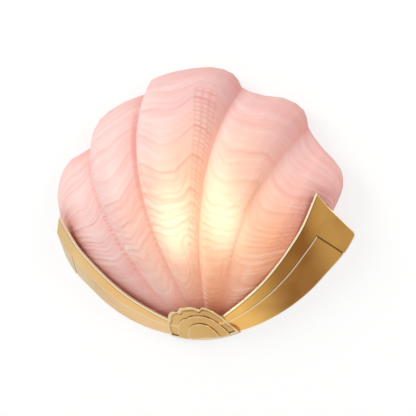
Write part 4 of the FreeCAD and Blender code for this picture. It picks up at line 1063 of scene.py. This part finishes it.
def plate(name, node, outline, middle, low, high, edge, bead=0.0):
    """One plate of the medallion, its edge rounded by so many mm and raised into a bead."""
    corner = [(edge * (1 - math.sin(k * math.pi / 12)), edge * (1 - math.cos(k * math.pi / 12)) - bead)
              for k in range(7)]
    # How far each point of the winding is in from the outline, and down from the top.
    steps = [(MIDDLE, 0), (9, 0), (edge + 2.0, 0), (edge + 1.2, bead), (edge + 0.5, -0.5 * bead)]
    steps += corner + [(0, high - low), (MIDDLE, high - low)]
    table = []
    for x, rise in np.vstack([outline, outline[:1]]):
        away = math.hypot(x - middle[0], rise - middle[1])
        row = []
        for inward, down in steps:
            share = max(0.0, 1 - inward / away) if inward < MIDDLE else 0.0
            row.append(on_cradle(middle[0] + (x - middle[0]) * share,
                                 middle[1] + (rise - middle[1]) * share, high - down))
        table.append(row)
    table = np.array(table)
    thing, i, j = pressed_sheet(table)
    step = np.broadcast_to(np.arange(len(steps)), table.shape[:2])
    # A painted highlight on the rounded edge of each plate.
    keep_value(thing, "polish", (step > 4) * (step < 10) * 0.5, i, j)
    # Painted shade in the dip before the bead of the lowest plate.
    keep_value(thing, "hollow", (step == 3) * min(bead, 0.35), i, j)
    close_ends(thing)
    bpy.ops.object.shade_smooth_by_angle(angle=math.radians(50))
    thing.name = name
    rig.ride(thing, "base")
    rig.slot(thing, "brass_dark")
    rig.replaces(thing, node)
    return thing


print("the cradle at the middle, 10 mm up:", [round(v, 1) for v in on_cradle(0, 10, 0)])


# %% Stack the medallion
def lower_edge(half, middle, gain):
    """Lower edge of a plate, left to right: x and height."""
    u = np.linspace(-1, 1, 60)[1:-1]
    return np.stack([half * u, middle + gain * u ** 2], -1)


bottom_dips = [(-0.77, 0.06, 0.06), (-0.43, 0.07, 0.09), (0.19, 0.11, 0.10), (0.90, 0.06, 0.08)]
medallion = [
    plate("medallion_scalloped", "medallion_plate", np.vstack([
        scallops(36, 5.6, 29.3, bottom_dips), lower_edge(36, -0.2, 5.6)]), (0, 12), 0.0, 4.0, 2.4, 0.6),
    plate("medallion_middle", "medallion_mid_step", np.vstack([
        scallops(26.6, 3.2, 20.5, [(-0.35, 0.08, 0.05)]), lower_edge(22, 0.6, 1)]), (0, 9), 4.0, 5.2, 0.8),
    plate("medallion_centre", "medallion_inner_step", np.vstack([
        scallops(16.2, 1.8, 13.5, []), lower_edge(13, 0.4, 0.4)]), (0, 6), 5.2, 6.4, 0.8)]
print("medallion faces:", [len(layer.data.polygons) for layer in medallion])


# %% [markdown]
# The cradle is cast brass, rubbed to a satin and lacquered. Metal has almost no colour of its
# own: it mirrors the room in its tint. What makes it read as brass is a rough enough surface,
# faint rubbing marks along it, and a little brown where cloths never reach. The cradle's
# colour also carries painted light: paler on the left, a painted highlight at the left tip
# and along the edges, and painted shade, brown on the right and in the grooves.

# %% Finish the metals
def metal(name, colour, roughness, stain, grain=(60, 60, 900)):
    """Rubbed metal: tinted, with fine marks along it and stains that come and go."""
    finish = Finish(name, colour, roughness, 1.0)
    marks = finish.noise(1.0, 3.0, 0.6, finish.stretched(grain))
    stain_and_shade = finish.between(finish.noise(35.0, 4.0), 0.48, 0.72, 0.0, 0.55)
    finish.put(Base_Color=finish.blend(stain_and_shade, colour, stain),
               Roughness=roughness + marks * 0.10 + stain_and_shade * 0.10 - 0.05,
               Normal=finish.bump(marks, 0.00002, 0.5))
    return finish


def cast_brass(name, tip, pale, gold, brown):
    """Lacquered casting with painted light: a highlight at the left tip, paler on the left, gold in the middle, brown
    painted shade on the right; painted highlights on the edges, painted shade in the grooves.
    """
    finish = Finish(name, pale, 0.3, 1.0)
    across = finish.along("X")
    marks = finish.noise(1.0, 2.0, 0.5, finish.stretched((40, 40, 160)))
    # Painted shade: the right arm turns brown, as the side away from the light.
    stain_and_shade = finish.between(across, 0.045, 0.095) * (1 - finish.between(across, 0.112, 0.140) * 0.4)
    cloud = finish.between(finish.noise(22.0, 2.0), 0.4, 0.75, 0.0, 0.18)
    # Painted light: a highlight at the left tip, and paler on the left where the light falls.
    skin = finish.layers(tip, (finish.between(across, -0.140, -0.085), pale),
                         (finish.between(across, -0.04, 0.04), gold),
                         (stain_and_shade * 0.9 + cloud, brown),
                         # painted shade in the grooves
                         (finish.own("hollow") * 0.85, tone(84, 52, 22)),
                         # painted highlights along the edges
                         (finish.own("polish") * 0.9, tone(255, 246, 214)))
    finish.put(Base_Color=skin, Roughness=0.24 + marks * 0.10 + stain_and_shade * 0.06,
               Normal=finish.bump(marks, 0.00002, 0.3))
    return finish


finishes = {
    "brass": cast_brass("satin_brass", tone(255, 220, 158), tone(246, 200, 134), tone(250, 196, 108),
                        tone(148, 96, 44)),
    "brass_dark": cast_brass("aged_brass", tone(226, 186, 124), tone(226, 186, 124),
                             tone(214, 168, 100), tone(150, 96, 40)),
    "zinc_steel": metal("zinc_plated_steel", tone(188, 190, 192), 0.34, tone(160, 160, 150)),
    "plain_brass": metal("turned_brass", tone(214, 180, 110), 0.30, tone(184, 140, 80)),
    "nickel_cap": metal("nickel_cap", tone(196, 190, 180), 0.25, tone(168, 160, 146)),
    "solder": metal("solder", tone(170, 172, 176), 0.42, tone(130, 130, 134), (300, 300, 300)),
}
print("metals:", sorted(finishes))


# %% [markdown]
# The other parts are paint, porcelain, moulded plastic, rubber and opal glass. Each is a
# plain colour to the eye, but close up paint is faintly pebbled, porcelain pools its glaze
# and plastic keeps the grain of its mould, so each gets a fine bump and a mottled gloss.

# %% Finish the paint, the porcelain, the plastics and the bulb
def moulded(name, colour, shadow, roughness, pebble, depth, coat=0.0):
    """A coloured skin: pebbled by its mould or its spray, with uneven gloss."""
    finish = Finish(name, colour, roughness, 0.0, Coat_Weight=coat, Coat_Roughness=0.08)
    cloud = finish.noise(40.0, 3.0)
    finish.put(Base_Color=finish.blend(finish.between(cloud, 0.4, 0.75, 0.0, 0.5), colour, shadow),
               Roughness=roughness + cloud * 0.12 - 0.06,
               Normal=finish.bump(finish.noise(pebble, 2.0), depth, 0.6))
    return finish


finishes.update({
    "plate_white": moulded("white_paint", tone(238, 236, 230), tone(226, 223, 214), 0.45, 900, 0.00006),
    "holder_ceramic": moulded("glazed_porcelain", tone(240, 238, 232), tone(228, 224, 214), 0.16,
                              160, 0.00004, 0.6),
    "clear_rubber": moulded("clear_rubber", tone(222, 220, 212), tone(204, 200, 190), 0.40, 500, 0.00004),
    "black_rubber": moulded("black_rubber", tone(40, 40, 42), tone(58, 57, 56), 0.62, 700, 0.00006),
    "dark_insulator": moulded("dark_insulator", tone(34, 32, 40), tone(52, 48, 54), 0.30, 300, 0.00003),
    "block_plastic": moulded("block_plastic", tone(226, 224, 214), tone(208, 204, 190), 0.38, 600, 0.00005),
    "brown_sleeve": moulded("brown_sleeve", tone(112, 70, 44), tone(92, 56, 36), 0.40, 800, 0.00003),
    "blue_sleeve": moulded("blue_sleeve", tone(46, 92, 160), tone(36, 72, 132), 0.40, 800, 0.00003),
    "opal_glass": moulded("opal_glass", tone(250, 244, 228), tone(244, 234, 210), 0.30, 400, 0.00002),
})
opal = finishes["opal_glass"]
hot = opal.near((0.0, -0.036, 0.004), 0.034)
opal.put(Emission_Color=opal.blend(hot, tone(255, 214, 140), tone(255, 240, 206)),
         Emission_Strength=1.6)
print("all finishes:", len(finishes) + 1)


# %% [markdown]
# The record of the packed model says which material each node is made of. Nodes that a
# new piece stands for are left alone, and every other node gets the finish of its slot.

# %% Give every carried-over piece its finish
slots = {part["node"]: part["material_slot"] for part in frame["record"]["subparts"]}
replaced = {"glass_shade", "cradle_left_arm", "cradle_right_arm", "medallion_plate",
            "medallion_mid_step", "medallion_inner_step"}
dressed = [(frame["nodes"][name], slot) for name, slot in slots.items() if name not in replaced]
dressed += [(right_arm, "brass"), (left_arm, "brass")] + [(layer, "brass_dark") for layer in medallion]
for piece, slot in dressed:
    piece.data.materials.clear()
    piece.data.materials.append(finishes[slot].material)
print({slot: sum(s == slot for s in slots.values()) for slot in finishes})


# %% [markdown]
# The glass must stay within the size of the packed model, so both boxes are written down
# at the end.

# %% Measure and write down the boxes
json.dump({"solid": [list(corner) for corner in solid_box],
           "dressed": [list(corner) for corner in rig.bounds()]}, open("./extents.json", "w"))
print(open("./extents.json").read())
